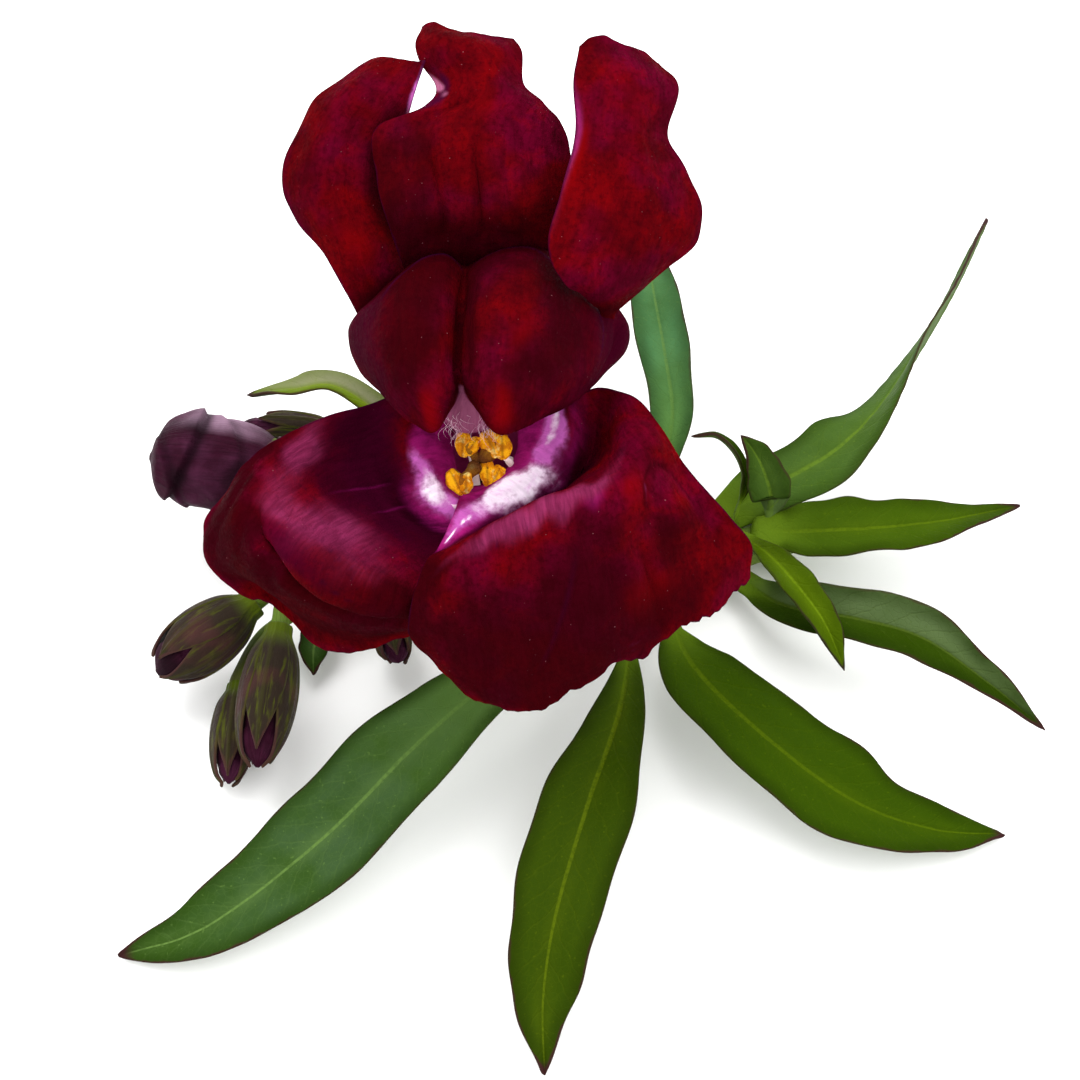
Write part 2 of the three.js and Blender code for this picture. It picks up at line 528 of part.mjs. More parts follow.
const FLOWER_STALK_PATH = [[-5.9, 0.7, 4.6], [-6.1, 2.9, 5.3], [-6.2, 3.5, 6.6], [-6.2, 2.8, 7.75]];

function flowerStalk() {
  return named("flower_stalk", rod(FLOWER_STALK_PATH, 0.8, 1.2, 8, RING_SIDES), "stem");
}

// ---- Buds ------------------------------------------------------------------------------------------------

// Each closed bud: the point where its calyx starts, its tip, its greatest radius, the share of it that the
// calyx covers, and its stalk's path.
const BUDS = {
  bud_large: {
    base: [-20.9, 5.5, 8.2], tip: [-31.5, 7.0, 7.8], radius: 3.2, cover: 0.36,
    stalk: [[-14.6, 0.7, 4.4], [-17.4, 3.4, 7.0], [-20.2, 5.4, 8.2]],
  },
  bud_back: {
    base: [-18.8, 12.2, 4.4], tip: [-25.9, 12.6, 4.0], radius: 0.8, cover: 0.7,
    stalk: [[-16.8, 0.4, 3.8], [-16.4, 6.4, 3.4], [-18.2, 11.9, 4.3]],
  },
  bud_left: {
    base: [-23.4, -4.2, 5.8], tip: [-30.1, -9.0, 4.0], radius: 1.95, cover: 0.75,
    stalk: [[-21.2, -2.2, 5.0], [-22.1, -2.9, 5.6], [-22.9, -3.8, 5.8]],
  },
  bud_front: {
    base: [-21.5, -6.6, 6.4], tip: [-22.6, -16.8, 4.6], radius: 1.55, cover: 0.75,
    stalk: [[-21.0, -3.4, 4.6], [-21.5, -4.6, 5.8], [-21.5, -6.0, 6.4]],
  },
  bud_front_left: {
    base: [-24.6, -8.8, 2.4], tip: [-24.8, -16.6, 2.0], radius: 1.0, cover: 0.75,
    stalk: [[-20.7, -3.1, 3.2], [-23.2, -5.2, 2.6], [-24.5, -8.2, 2.4]],
  },
  bud_hidden: {
    base: [-14.4, -3.2, 3.0], tip: [-13.4, -7.4, 2.9], radius: 0.9, cover: 0.7,
    stalk: [[-14.6, -1.9, 3.2], [-14.6, -2.3, 3.1], [-14.5, -2.7, 3.0]],
  },
};

const BUD_PROFILE = [[0, 0.42], [0.2, 0.82], [0.45, 1], [0.7, 0.9], [0.9, 0.55], [1, 0.12]];
const CALYX_GAP = 0.3;
const CALYX_WALL = 0.35;
const CALYX_FLOOR = 0.4; // from the calyx's start to the floor of its cup
const COROLLA_START = 0.75; // from the calyx's start to the closed corolla's
const CALYX_LOBES = 5;
const CALYX_NOTCH = 0.3; // how deep the notches between its lobes are, as a share of the calyx

const budLength = ({ base, tip }) => vec(base).distanceTo(vec(tip));
const budAlong = ({ base, tip }, t) => base.map((value, k) => THREE.MathUtils.lerp(value, tip[k], t));

// The closed corolla's radius at a share t of the bud's whole length.
function budRadius(bud, t) {
  const start = COROLLA_START / budLength(bud);
  const along = THREE.MathUtils.clamp((t - start) / (1 - start), 0, 1);
  const next = Math.max(1, BUD_PROFILE.findIndex(([stop]) => stop >= along));
  const [t0, w0] = BUD_PROFILE[next - 1];
  const [t1, w1] = BUD_PROFILE[next];
  return bud.radius * THREE.MathUtils.lerp(w0, w1, (along - t0) / (t1 - t0));
}

function budCorolla(name, bud) {
  const start = COROLLA_START / budLength(bud);
  const path = [budAlong(bud, start), bud.tip];
  const rings = ringsAlong(path, 8, RING_SIDES, (t) => budRadius(bud, THREE.MathUtils.lerp(start, 1, t)));
  return named(`${name}_corolla`, ringBody(rings), "bud");
}

// The calyx is a cup round the bud's lower part, and its rim rises in pointed lobes.
function budCalyx(name, bud) {
  const axis = vec(bud.tip).sub(vec(bud.base));
  const wall = (gap, start, steps) => ringsAlong(
    [budAlong(bud, start), budAlong(bud, bud.cover)], steps, 2 * CALYX_LOBES,
    (t) => gap + budRadius(bud, THREE.MathUtils.lerp(start, bud.cover, t)),
  ).map((ring, k) => ring.map((p, n) => {
    const notch = n % 2 ? CALYX_NOTCH * bud.cover * (k / (steps - 1)) : 0;
    return p.addScaledVector(axis, -notch);
  }));
  const outer = wall(CALYX_GAP + CALYX_WALL, 0, 5);
  const inner = wall(CALYX_GAP, CALYX_FLOOR / budLength(bud), 4).reverse();
  return named(`${name}_calyx`, ringBody([...outer, ...inner]), "sepal");
}

function buds() {
  return Object.entries(BUDS).flatMap(([name, bud]) => [
    budCorolla(name, bud),
    budCalyx(name, bud),
    named(`${name}_stalk`, rod(bud.stalk, 0.5, 0.55, 5, 6), "stem"),
  ]);
}

const shoot = new THREE.Group();
shoot.position.set(...SHOOT_OFFSET);
shoot.add(stem(), ...leaves(), flowerStalk(), openFlower(), ...buds());

export default shoot;
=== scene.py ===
"""Visual model of a cut snapdragon shoot that lies on a pale surface.

One open crimson flower with its stamens, twelve leaves round two nodes of the stem, six closed buds, and the
stem and stalks that carry them. Each surface is worked out as a grid of points in the shoot's own
millimetres, closed into a thin body or a rod, and put into the frame's metres at the end.
"""
import logging
import math
from dataclasses import dataclass, field, replace
from enum import Enum
from functools import cache
from typing import Callable, Sequence

import bpy
import numpy as np
from numpy.typing import NDArray
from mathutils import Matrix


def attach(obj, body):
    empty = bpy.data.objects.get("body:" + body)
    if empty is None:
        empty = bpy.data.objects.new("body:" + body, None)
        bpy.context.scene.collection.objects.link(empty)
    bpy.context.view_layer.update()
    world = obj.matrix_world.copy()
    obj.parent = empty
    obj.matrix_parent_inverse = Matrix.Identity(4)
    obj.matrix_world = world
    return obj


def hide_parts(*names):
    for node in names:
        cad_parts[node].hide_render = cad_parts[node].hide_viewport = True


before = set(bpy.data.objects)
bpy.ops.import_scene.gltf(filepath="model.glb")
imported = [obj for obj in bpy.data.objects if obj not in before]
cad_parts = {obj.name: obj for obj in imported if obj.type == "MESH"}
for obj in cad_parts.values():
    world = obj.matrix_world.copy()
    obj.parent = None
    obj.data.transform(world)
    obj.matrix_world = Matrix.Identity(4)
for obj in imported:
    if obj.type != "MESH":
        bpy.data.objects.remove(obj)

LOG = logging.getLogger("snapdragon")
Values = NDArray[np.float64]
Points = NDArray[np.float64]
Indices = NDArray[np.int64]
Masks = dict[str, Values]
Place = tuple[float, float, float]
Colour = tuple[float, float, float]
Rows = tuple[tuple[Place, ...], ...]

BODY = "root"
MM = 0.001
TURN = 2.0 * math.pi
UP = np.array((0.0, 0.0, 1.0))
BLACK = (0.0, 0.0, 0.0)
SHOOT_OFFSET = np.array((-0.5, 1.05, -0.15))
THROAT = np.array((-7.2, -4.3, 23.1))
FLOWER_TILT = math.radians(35.0)
LEAST_HEIGHT = 0.03
NO_MARGIN = 3.0


class Slot(Enum):
    """The record's material slots."""

    STEM = "stem_green"
    LEAF = "leaf_green"
    SEPAL = "sepal_green"
    PETAL = "petal_crimson"
    THROAT = "throat_pink"
    ANTHER = "anther_yellow"
    FILAMENT = "filament_white"
    BUD = "bud_purple"


class Tint(Enum):
    """The soft patches of colour that a petal can carry, each a mask on its mesh."""

    # Lighter red that also serves as painted highlights, as on the palate's swellings.
    BRIGHT = "bright"
    # Dark red that also serves as painted shade in creases and recesses and on faces turned from the light.
    DEEP = "deep"
    PLUM = "plum"
    # Dusty pink that carries a painted sheen on the rolled ridges.
    DUSTY = "dusty"
    PALE = "pale"
    LILAC = "lilac"
    MAGENTA = "magenta"
    MAUVE = "mauve"
    VEIN = "vein"


class Edge(Enum):
    """A free edge of a petal's grid."""

    LEFT = "left"
    RIGHT = "right"
    TIP = "tip"


class Effect(Enum):
    """The node groups that several finishes share."""

    STREAKS = "streaks"
    VEINS = "side_veins"
    RIM = "margin_line"


# ---- Curves and grids ----


def smooth_at(points: Points, steps: Values, closed: bool = False) -> Points:
    """Points on the uniform Catmull-Rom curve through control points that run along the first axis.

    Between p1 and p2, at a share f of the way, the curve is half of 2 p1 + (p2 - p0) f
    + (2 p0 - 5 p1 + 4 p2 - p3) f^2 + (3 p1 - p0 - 3 p2 + p3) f^3. An open curve goes on straight at its ends.

    Args:
        points: the control points, of any shape after the first axis.
        steps: places on the curve, in control points from the first.
        closed: whether the last control point joins the first.

    Returns:
        One point for each step.
    """
    count = len(points)
    if closed:
        first = np.floor(steps).astype(int)
        p0, p1, p2, p3 = (points[(first + k) % count] for k in (-1, 0, 1, 2))
    else:
        ends = np.concatenate(([2 * points[0] - points[1]], points, [2 * points[-1] - points[-2]]))
        first = np.clip(np.floor(steps).astype(int), 0, count - 2)
        p0, p1, p2, p3 = (ends[first + k] for k in range(4))
    share = (steps - first).reshape((-1,) + (1,) * (points.ndim - 1))
    bend = (2 * p0 - 5 * p1 + 4 * p2 - p3) * share**2
    return 0.5 * (2 * p1 + (p2 - p0) * share + bend + (3 * p1 - p0 - 3 * p2 + p3) * share**3)


def smooth(points: Points, count: int, closed: bool = False) -> Points:
    """The same curve at count even steps of its parameter."""
    last = len(points) if closed else len(points) - 1
    return smooth_at(points, np.linspace(0.0, last, count, endpoint=not closed), closed)


def eased(count: int, pull: float = 0.6) -> Values:
    """Shares from 0 to 1 that crowd towards both ends: a straight ramp mixed with half a cosine wave."""
    ramp = np.linspace(0.0, 1.0, count)
    return ramp + pull * (0.5 - 0.5 * np.cos(math.pi * ramp) - ramp)


def ease(value: Values, low: float, high: float) -> Values:
    """0 below low and 1 above high, with the smooth step 3 x^2 - 2 x^3 between."""
    share = np.clip((value - low) / (high - low), 0.0, 1.0)
    return share * share * (3.0 - 2.0 * share)


def bell(offset: Values, reach: float) -> Values:
    """The bell curve exp(-(offset / reach)^2)."""
    return np.exp(-((offset / reach) ** 2))


def feather(distance: Values, reach: float) -> Values:
    """A rounded edge: the quarter circle sqrt(1 - (1 - d / reach)^2), and 1 beyond the reach."""
    return np.sqrt(1.0 - (1.0 - np.clip(distance / reach, 0.0, 1.0)) ** 2)


def unit(vectors: Points) -> Points:
    """Vectors scaled to length 1 along the last axis."""
    return vectors / np.maximum(np.linalg.norm(vectors, axis=-1, keepdims=True), 1e-12)


def circle(sides: int) -> Values:
    """The angles of evenly spaced sides of a ring."""
    return np.linspace(0.0, TURN, sides, endpoint=False)


def ringed(values: Values, sides: int) -> Values:
    """A value for each ring of a rod, or row of a sheet, the same at all its sides or columns."""
    return np.repeat(values[:, None], sides, axis=1)


def waves(points: Points, wavelength: float, seed: int, count: int = 6) -> Values:
    """Smooth random relief from about -1 to 1: the mean of sine waves that run in random directions.

    Args:
        points: where to work it out, in millimetres.
        wavelength: about how far apart its crests are.
        seed: fixes the directions, lengths and phases.
        count: how many sine waves are added.

    Returns:
        One number for each point.
    """
    random = np.random.default_rng(seed)
    ways = unit(random.normal(size=(count, 3)))
    lengths = wavelength * random.uniform(0.7, 1.5, count)
    phases = random.uniform(0.0, TURN, count)
    return 1.4 * np.mean(np.sin(points @ (ways.T * (TURN / lengths)) + phases), axis=-1)


def sheet_normals(grid: Points) -> Points:
    """Unit normals of a grid: its step across, crossed with its step along."""
    return unit(np.cross(np.gradient(grid, axis=1), np.gradient(grid, axis=0)))


def running_length(grid: Points, axis: int) -> Values:
    """Distance over the sheet from the first row or column of a grid to each of its points."""
    steps = np.linalg.norm(np.diff(grid, axis=axis), axis=-1)
    return np.concatenate((np.zeros_like(steps.take([0], axis)), np.cumsum(steps, axis=axis)), axis=axis)


def sheet_lengths(grid: Points) -> Masks:
    """Millimetres over a sheet whose foot is its first row.

    Args:
        grid: the sheet.

    Returns:
        The distance across from its middle column, along from its foot, and to its nearest free margin.
    """
    left, base = running_length(grid, 1), running_length(grid, 0)
    middle = grid.shape[1] // 2
    margin = np.minimum(np.minimum(left, left[:, -1:] - left), base[-1:] - base)
    return {"across_mm": left - left[:, middle:middle + 1], "along_mm": base, "margin_mm": margin}


def from_flower(points: Points) -> Points:
    """Points in the flower's own frame, turned about X by its tilt and moved to the throat."""
    cos, sin = math.cos(FLOWER_TILT), math.sin(FLOWER_TILT)
    turn = np.array(((1.0, 0.0, 0.0), (0.0, cos, -sin), (0.0, sin, cos)))
    return np.asarray(points, float) @ turn.T + THROAT


def path_frames(path: Points) -> tuple[Points, Points]:
    """The directions square to a path.

    Args:
        path: points along it.

    Returns:
        Unit side and up vectors at each point, the last as near to upright as they can be.
    """
    tangent = unit(np.gradient(path, axis=0))
    steep = np.abs(tangent[:, 2:]) > 0.9
    side = unit(np.cross(np.where(steep, np.array((0.0, 1.0, 0.0)), UP), tangent))
    return side, unit(np.cross(tangent, side))


# ---- Shells ----


@dataclass
class Shell:
    """A closed body as arrays: vertices in millimetres, faces, and a number for each vertex in each mask."""

    vertices: Points
    quads: Indices
    triangles: Indices = field(default_factory=lambda: np.zeros((0, 3), int))
    masks: Masks = field(default_factory=dict)

    def in_flower(self) -> "Shell":
        """The same body, moved from the flower's own frame to the shoot's."""
        return replace(self, vertices=from_flower(self.vertices))


def joined(shells: Sequence[Shell]) -> Shell:
    """Several bodies as one.

    Args:
        shells: the bodies.

    Returns:
        All of them, with 0 in each mask that a body lacks.
    """
    starts = np.cumsum([0] + [len(shell.vertices) for shell in shells])
    names = sorted({name for shell in shells for name in shell.masks})
    return Shell(
        np.concatenate([shell.vertices for shell in shells]),
        np.concatenate([shell.quads + start for shell, start in zip(shells, starts)]),
        np.concatenate([shell.triangles + start for shell, start in zip(shells, starts)]),
        {name: np.concatenate([shell.masks.get(name, np.zeros(len(shell.vertices))) for shell in shells])
         for name in names},
    )


def quads_of(index: Indices) -> Indices:
    """The four corners of each cell of a grid, or of each of several grids, of vertex numbers."""
    corners = (index[..., :-1, :-1], index[..., :-1, 1:], index[..., 1:, 1:], index[..., 1:, :-1])
    return np.stack(corners, axis=-1).reshape(-1, 4)


def sheet_shell(middle: Points, half: Values, masks: Masks, turned: bool = False,
                back_half: Values | None = None) -> Shell:
    """A thin closed body round a grid of middle points, whose front and back meet in a knife edge all round.

    The front lies at middle + half times the normal and the back at middle - back_half times the normal.
    The mask front is 1 on the front, 0 on the back and a half on the edge.

    Args:
        middle: the grid, rows by columns by 3.
        half: half the thickness at each point of the grid.
        masks: values at each point of the grid, given to the front and the back.
        turned: whether the front is on the side that the grid's normals point away from.
        back_half: the back's share of the thickness, where it differs from the front's.

    Returns:
        The body.
    """
    rows, columns = middle.shape[:2]
    normals = sheet_normals(middle) * (-1.0 if turned else 1.0)
    inner = np.zeros((rows, columns), bool)
    inner[1:-1, 1:-1] = True
    back_half = half if back_half is None else back_half
    front = np.where(inner[..., None], middle + normals * half[..., None], middle)
    back = middle - normals * back_half[..., None]
    front_index = np.arange(rows * columns).reshape(rows, columns)
    back_index = front_index.copy()
    back_index[inner] = rows * columns + np.arange(inner.sum())
    quads = np.concatenate((quads_of(front_index), quads_of(back_index)[:, ::-1]))
    both = {name: np.concatenate((value.ravel(), value[inner])) for name, value in masks.items()}
    both["front"] = np.concatenate((np.where(inner, 1.0, 0.5).ravel(), np.zeros(inner.sum())))
    vertices = np.concatenate((front.reshape(-1, 3), back[inner]))
    return Shell(vertices, quads[:, ::-1] if turned else quads, masks=both)


def sepal_shell(grid: Points, half: float, rib: float, reach: float, tipward: Values | None = None) -> Shell:
    """A sepal's thin body with a raised rib, the bell curve of its share across, down the middle of its front.

    Args:
        grid: its middle surface.
        half: half its thickness.
        rib: the rib's height.
        reach: how far in from its edges it has its full thickness, and the rib half its height.
        tipward: the mask tip, where it isn't the share of its length.

    Returns:
        The body.
    """
    masks = sheet_lengths(grid)
    base = masks["along_mm"]
    edge = np.minimum(masks["margin_mm"], base)
    back = half * feather(edge, reach)
    front = back + rib * bell(2.0 * eased(grid.shape[1]) - 1.0, 0.12) * feather(edge, 2.0 * reach)
    masks["tip"] = base / base.max() if tipward is None else tipward
    return sheet_shell(grid, front, masks, back_half=back)


def ring_shell(rings: Points, masks: Masks | None = None) -> Shell:
    """A closed body through rings that turn anticlockwise about their way on, with a point at each end.

    Args:
        rings: rings by sides by 3.
        masks: values at each point of the rings.

    Returns:
        The body.
    """
    count, sides = rings.shape[:2]
    index = np.arange(count * sides).reshape(count, sides)
    wrapped = np.concatenate((index, index[:, :1]), axis=1)
    first, last = count * sides, count * sides + 1
    caps = [np.stack((np.full(sides, first), wrapped[0, 1:], wrapped[0, :-1]), axis=1),
            np.stack((np.full(sides, last), wrapped[-1, :-1], wrapped[-1, 1:]), axis=1)]
    ends = rings[[0, -1]].mean(axis=1)
    both = {name: np.concatenate((value.ravel(), value[[0, -1]].mean(axis=1)))
            for name, value in (masks or {}).items()}
    return Shell(np.concatenate((rings.reshape(-1, 3), ends)), quads_of(wrapped), np.concatenate(caps), both)


def rings_along(path: Points, radii: Values) -> Points:
    """Rings round a path: centre + radius (cos a side + sin a up).

    Args:
        path: their centres.
        radii: their radii, rings by sides.

    Returns:
        Rings by sides by 3.
    """
    side, up = path_frames(path)
    angle = circle(radii.shape[1])[:, None]
    around = np.cos(angle) * side[:, None, :] + np.sin(angle) * up[:, None, :]
    return path[:, None, :] + radii[..., None] * around


def rod(path: Points, radii: Values, sides: int, masks: Masks | None = None) -> Shell:
    """A round rod along a path, whose two ends are rounded off by rings that shrink as a quarter circle does.

    Args:
        path: points along its middle.
        radii: its radius at each of them.
        sides: how many sides it has.
        masks: values at each point of the path.

    Returns:
        The rod.
    """
    tangent = unit(np.gradient(path, axis=0))
    angle = np.linspace(0.15, math.pi / 2, 4)[:-1]
    start = path[0] - tangent[0] * radii[0] * 0.6 * np.cos(angle)[:, None]
    end = (path[-1] + tangent[-1] * radii[-1] * 0.6 * np.cos(angle)[:, None])[::-1]
    spine = np.concatenate((start, path, end))
    thick = np.concatenate((radii[0] * np.sin(angle), radii, (radii[-1] * np.sin(angle))[::-1]))
    spread = {name: ringed(np.pad(value, len(angle), "edge"), sides) for name, value in (masks or {}).items()}
    return ring_shell(rings_along(spine, ringed(thick, sides)), spread)


@dataclass(frozen=True)
class HairCoat:
    """Fine hairs: how long and thick they are, in millimetres, and how they bend."""

    length: float
    radius: float
    curl: float
    turns: float
    rings: int
    seed: int

    def shell(self, roots: Points, ways: Points) -> Shell:
        """Tapering three-sided hairs, all worked out at once.

        A hair's middle at a share t of its length is root + way L t + a C t sin(w t) + b C t (1 - cos(w t)),
        where a and b are square to its way, L is its length, C its curl and w its turns.

        Args:
            roots: where each hair stands.
            ways: the direction that each sets out in.

        Returns:
            All hairs as one body of separate closed solids.
        """
        random = np.random.default_rng(self.seed)
        count = len(roots)
        ways = unit(ways + random.normal(scale=0.25, size=(count, 3)))
        first = unit(np.cross(ways, unit(random.normal(size=(count, 3)))))
        second = np.cross(ways, first)
        length = self.length * random.uniform(0.6, 1.2, (count, 1, 1))
        share = np.linspace(0.0, 1.0, self.rings)[None, :, None]
        turn = TURN * self.turns * random.uniform(0.7, 1.3, (count, 1, 1)) * share
        bend = self.curl * share * (first[:, None] * np.sin(turn) + second[:, None] * (1.0 - np.cos(turn)))
        middle = roots[:, None] + ways[:, None] * length * share + bend
        angle = circle(3)[:, None]
        around = np.cos(angle) * first[:, None] + np.sin(angle) * second[:, None]
        points = middle[:, :, None] + around[:, None] * (self.radius * (1.0 - 0.8 * share))[..., None]
        index = np.arange(points[..., 0].size).reshape(count, self.rings, 3)
        wrapped = np.concatenate((index, index[:, :, :1]), axis=2)
        caps = np.concatenate((index[:, 0, ::-1], index[:, -1]))
        return Shell(points.reshape(-1, 3), quads_of(wrapped), caps)


# ---- Node trees ----


@dataclass(frozen=True, eq=False)
class Value:
    """A node's output. An operator adds the Math node that it stands for."""

    graph: "Graph"
    socket: bpy.types.NodeSocket

    def __add__(self, other: "Value | float") -> "Value":
        """The sum of both."""
        return self.graph.calc("ADD", self, other)

    def __sub__(self, other: "Value") -> "Value":
        """This less another."""
        return self.graph.calc("SUBTRACT", self, other)

    def __rsub__(self, other: float) -> "Value":
        """A constant less this."""
        return self.graph.calc("SUBTRACT", other, self)

    def __mul__(self, other: "Value | float") -> "Value":
        """The product of both."""
        return self.graph.calc("MULTIPLY", self, other)

    def __truediv__(self, other: "Value") -> "Value":
        """This over another."""
        return self.graph.calc("DIVIDE", self, other)

    def __abs__(self) -> "Value":
        """This without its sign."""
        return self.graph.calc("ABSOLUTE", self)

    def step(self, low: float, high: float, start: float = 0.0, end: float = 1.0) -> "Value":
        """A smooth step of this, from start at low to end at high."""
        inputs = {"Value": self, "From Min": low, "From Max": high, "To Min": start, "To Max": end}
        return self.graph.value("ShaderNodeMapRange", inputs, "Result", interpolation_type="SMOOTHSTEP")

    def under(self, *layers: "tuple[Value | Colour, Value]") -> "Value":
        """This colour below others.

        Args:
            layers: a colour and how much of it covers those below, for each layer in turn.

        Returns:
            The colour.
        """
        colour = self
        for over, share in layers:
            colour = self.graph.mix(share, colour, over)
        return colour


@dataclass(frozen=True)
class Graph:
    """A node tree while it is being drawn."""

    tree: bpy.types.NodeTree

    def node(self, kind: str, inputs: dict | None = None, **settings: object) -> bpy.types.Node:
        """Adds a node.

        Args:
            kind: the node's type.
            inputs: what each named or numbered input takes: a value, a number or a colour.
            settings: the node's own properties.

        Returns:
            The node.
        """
        made = self.tree.nodes.new(kind)
        for name, setting in settings.items():
            setattr(made, name, setting)
        for name, given in (inputs or {}).items():
            if isinstance(given, Value):
                self.tree.links.new(given.socket, made.inputs[name])
            else:
                made.inputs[name].default_value = (*given, 1.0) if isinstance(given, tuple) else given
        return made

    def value(self, kind: str, inputs: dict | None = None, output: str | int = 0, **settings: object) -> Value:
        """One output of a new node."""
        return Value(self, self.node(kind, inputs, **settings).outputs[output])

    def calc(self, operation: str, *values: Value | float) -> Value:
        """The result of a Math node, such as MULTIPLY."""
        return self.value("ShaderNodeMath", dict(enumerate(values)), operation=operation)

    def mask(self, name: str) -> Value:
        """The value of a named mask of the mesh."""
        return self.value("ShaderNodeAttribute", output="Fac", attribute_name=name)

    def mix(self, share: Value | float, under: Value | Colour, over: Value | Colour,
            blend: str = "MIX") -> Value:
        """Two colours mixed, or blended in another way, by a share."""
        return self.value("ShaderNodeMix", {0: share, 6: under, 7: over}, 2, data_type="RGBA", blend_type=blend)

    def noise(self, scale: float, detail: float = 3.0, roughness: float = 0.55, distortion: float = 0.0,
              at: Value | None = None) -> Value:
        """Cloudy noise from 0 to 1.

        Args:
            scale: its cells in one metre.
            detail: how many finer layers it has.
            roughness: how strong they are.
            distortion: how far it is warped.
            at: where it is read, the piece's own place unless given.

        Returns:
            The noise.
        """
        at = at or self.value("ShaderNodeTexCoord", output="Object")
        inputs = {"Vector": at, "Scale": scale, "Detail": detail, "Roughness": roughness,
                  "Distortion": distortion}
        return self.value("ShaderNodeTexNoise", inputs, "Fac")

    def cells(self, scale: float, feature: str) -> Value:
        """Distance over the piece's own place to Voronoi cells' centres or borders."""
        inputs = {"Vector": self.value("ShaderNodeTexCoord", output="Object"), "Scale": scale}
        return self.value("ShaderNodeTexVoronoi", inputs, "Distance", feature=feature)

    def effect(self, effect: Effect, **inputs: Value | float) -> Value:
        """A shared effect with its own values."""
        return self.value("ShaderNodeGroup", inputs, node_tree=shared_tree(effect))

    def streaks(self, fineness: float, stretch: float) -> Value:
        """Streaks along the sheet."""
        return self.effect(Effect.STREAKS, Across=self.mask("across_mm"), Along=self.mask("along_mm"),
                           Fineness=fineness, Stretch=stretch)

    def rim(self, reach: float) -> Value:
        """A line along the sheet's margin."""
        return self.effect(Effect.RIM, Margin=self.mask("margin_mm"), Reach=reach)

    def back(self) -> Value:
        """1 on the back of a sheet and 0 on its front."""
        return self.mask("front").step(0.55, 0.3)


def draw_streaks(graph: Graph, across: Value, along: Value, fineness: Value, stretch: Value) -> Value:
    """Fine streaks along a sheet: noise over its millimetres, squeezed across and stretched along."""
    place = graph.value("ShaderNodeCombineXYZ", {"X": across * fineness, "Y": along * stretch})
    return graph.noise(1.0, 4.0, 0.6, 0.6, place).step(0.3, 0.7)


def draw_veins(graph: Graph, across: Value, along: Value, spacing: Value, slant: Value, line: Value) -> Value:
    """Side veins that leave the middle at a slant.

    A line lies wherever along - slant |across| is a quarter of a spacing past a whole number of them on one
    side, and a quarter short of it on the other, and noise bends the lines.

    Args:
        graph: the group's tree.
        across: millimetres from the sheet's middle.
        along: millimetres from its foot.
        spacing: millimetres from vein to vein.
        slant: how steeply they leave the middle.
        line: half their width, in spacings.

    Returns:
        1 on a vein, falling evenly to 0 beside it.
    """
    climb = along - abs(across) * slant
    phase = (climb + graph.noise(520.0, 2.0) * 1.6) / spacing
    sided = phase + graph.calc("SIGN", across) * 0.25
    return graph.calc("MAXIMUM", 1.0 - graph.calc("PINGPONG", sided, 0.5) / line, 0.0)


def draw_rim(graph: Graph, margin: Value, reach: Value) -> Value:
    """A line along a sheet's margin, uneven in width: 1 at the margin and 0 beyond Reach millimetres."""
    return (margin / (reach * graph.noise(700.0).step(0.3, 0.7, 0.35, 1.3))).step(1.0, 0.25)


EFFECTS: dict[Effect, tuple[Callable[..., Value], tuple[str, ...]]] = {
    Effect.STREAKS: (draw_streaks, ("Across", "Along", "Fineness", "Stretch")),
    Effect.VEINS: (draw_veins, ("Across", "Along", "Spacing", "Slant", "Line")),
    Effect.RIM: (draw_rim, ("Margin", "Reach")),
}


@cache
def shared_tree(effect: Effect) -> bpy.types.NodeTree:
    """The node group of an effect, built once, with named numbers going in and a mask coming out.

    Args:
        effect: which.

    Returns:
        The group.
    """
    draw, labels = EFFECTS[effect]
    tree = bpy.data.node_groups.new(effect.value, "ShaderNodeTree")
    for label in labels:
        tree.interface.new_socket(label, in_out="INPUT", socket_type="NodeSocketFloat")
    tree.interface.new_socket("Mask", in_out="OUTPUT", socket_type="NodeSocketFloat")
    graph = Graph(tree)
    entry = graph.node("NodeGroupInput")
    mask = draw(graph, *(Value(graph, entry.outputs[label]) for label in labels))
    graph.node("NodeGroupOutput", {"Mask": mask})
    return tree


# ---- Finishes ----


@dataclass(frozen=True)
class Look:
    """What a finish's nodes give the shader: a colour, a grain with the roughness where it is low and high, the
    bump's height, and a painted glow: emission that stands in for the light that thin lit tissue lets through, so
    tissue that lies in shade looks lit."""

    colour: Value
    grain: Value
    roughness: tuple[float, float]
    height: Value
    glow: Value | Colour = BLACK


@dataclass(frozen=True)
class Finish:
    """A finish of the shoot. These fields are the same all over it, so they are set on the shader itself. The
    bump's depth is in millimetres."""

    name: str
    slot: Slot
    specular: float = 0.15
    sheen: float = 0.0
    sheen_tint: Colour = (1.0, 1.0, 1.0)
    bump_strength: float = 0.4
    bump_depth: float = 0.06

    def draw(self, graph: Graph) -> Look:
        """Draws the nodes of all that changes over the surface."""
        raise NotImplementedError

    @cache
    def material(self) -> bpy.types.Material:
        """The finish as a material, built once.

        Returns:
            The material.
        """
        made = bpy.data.materials.new(self.name)
        made.use_nodes = True
        made.node_tree.nodes.clear()
        graph = Graph(made.node_tree)
        look = self.draw(graph)
        bump = graph.value("ShaderNodeBump", {
            "Strength": self.bump_strength, "Distance": self.bump_depth * MM, "Height": look.height}, "Normal")
        # The painted glow goes into the shader's emission.
        shader = graph.value("ShaderNodeBsdfPrincipled", {
            "Base Color": look.colour, "Roughness": look.grain.step(0.3, 0.7, *look.roughness),
            "Normal": bump, "Emission Color": look.glow, "Emission Strength": 1.0,
            "Specular IOR Level": self.specular, "Sheen Weight": self.sheen, "Sheen Tint": self.sheen_tint})
        graph.node("ShaderNodeOutputMaterial", {"Surface": shader})
        return made


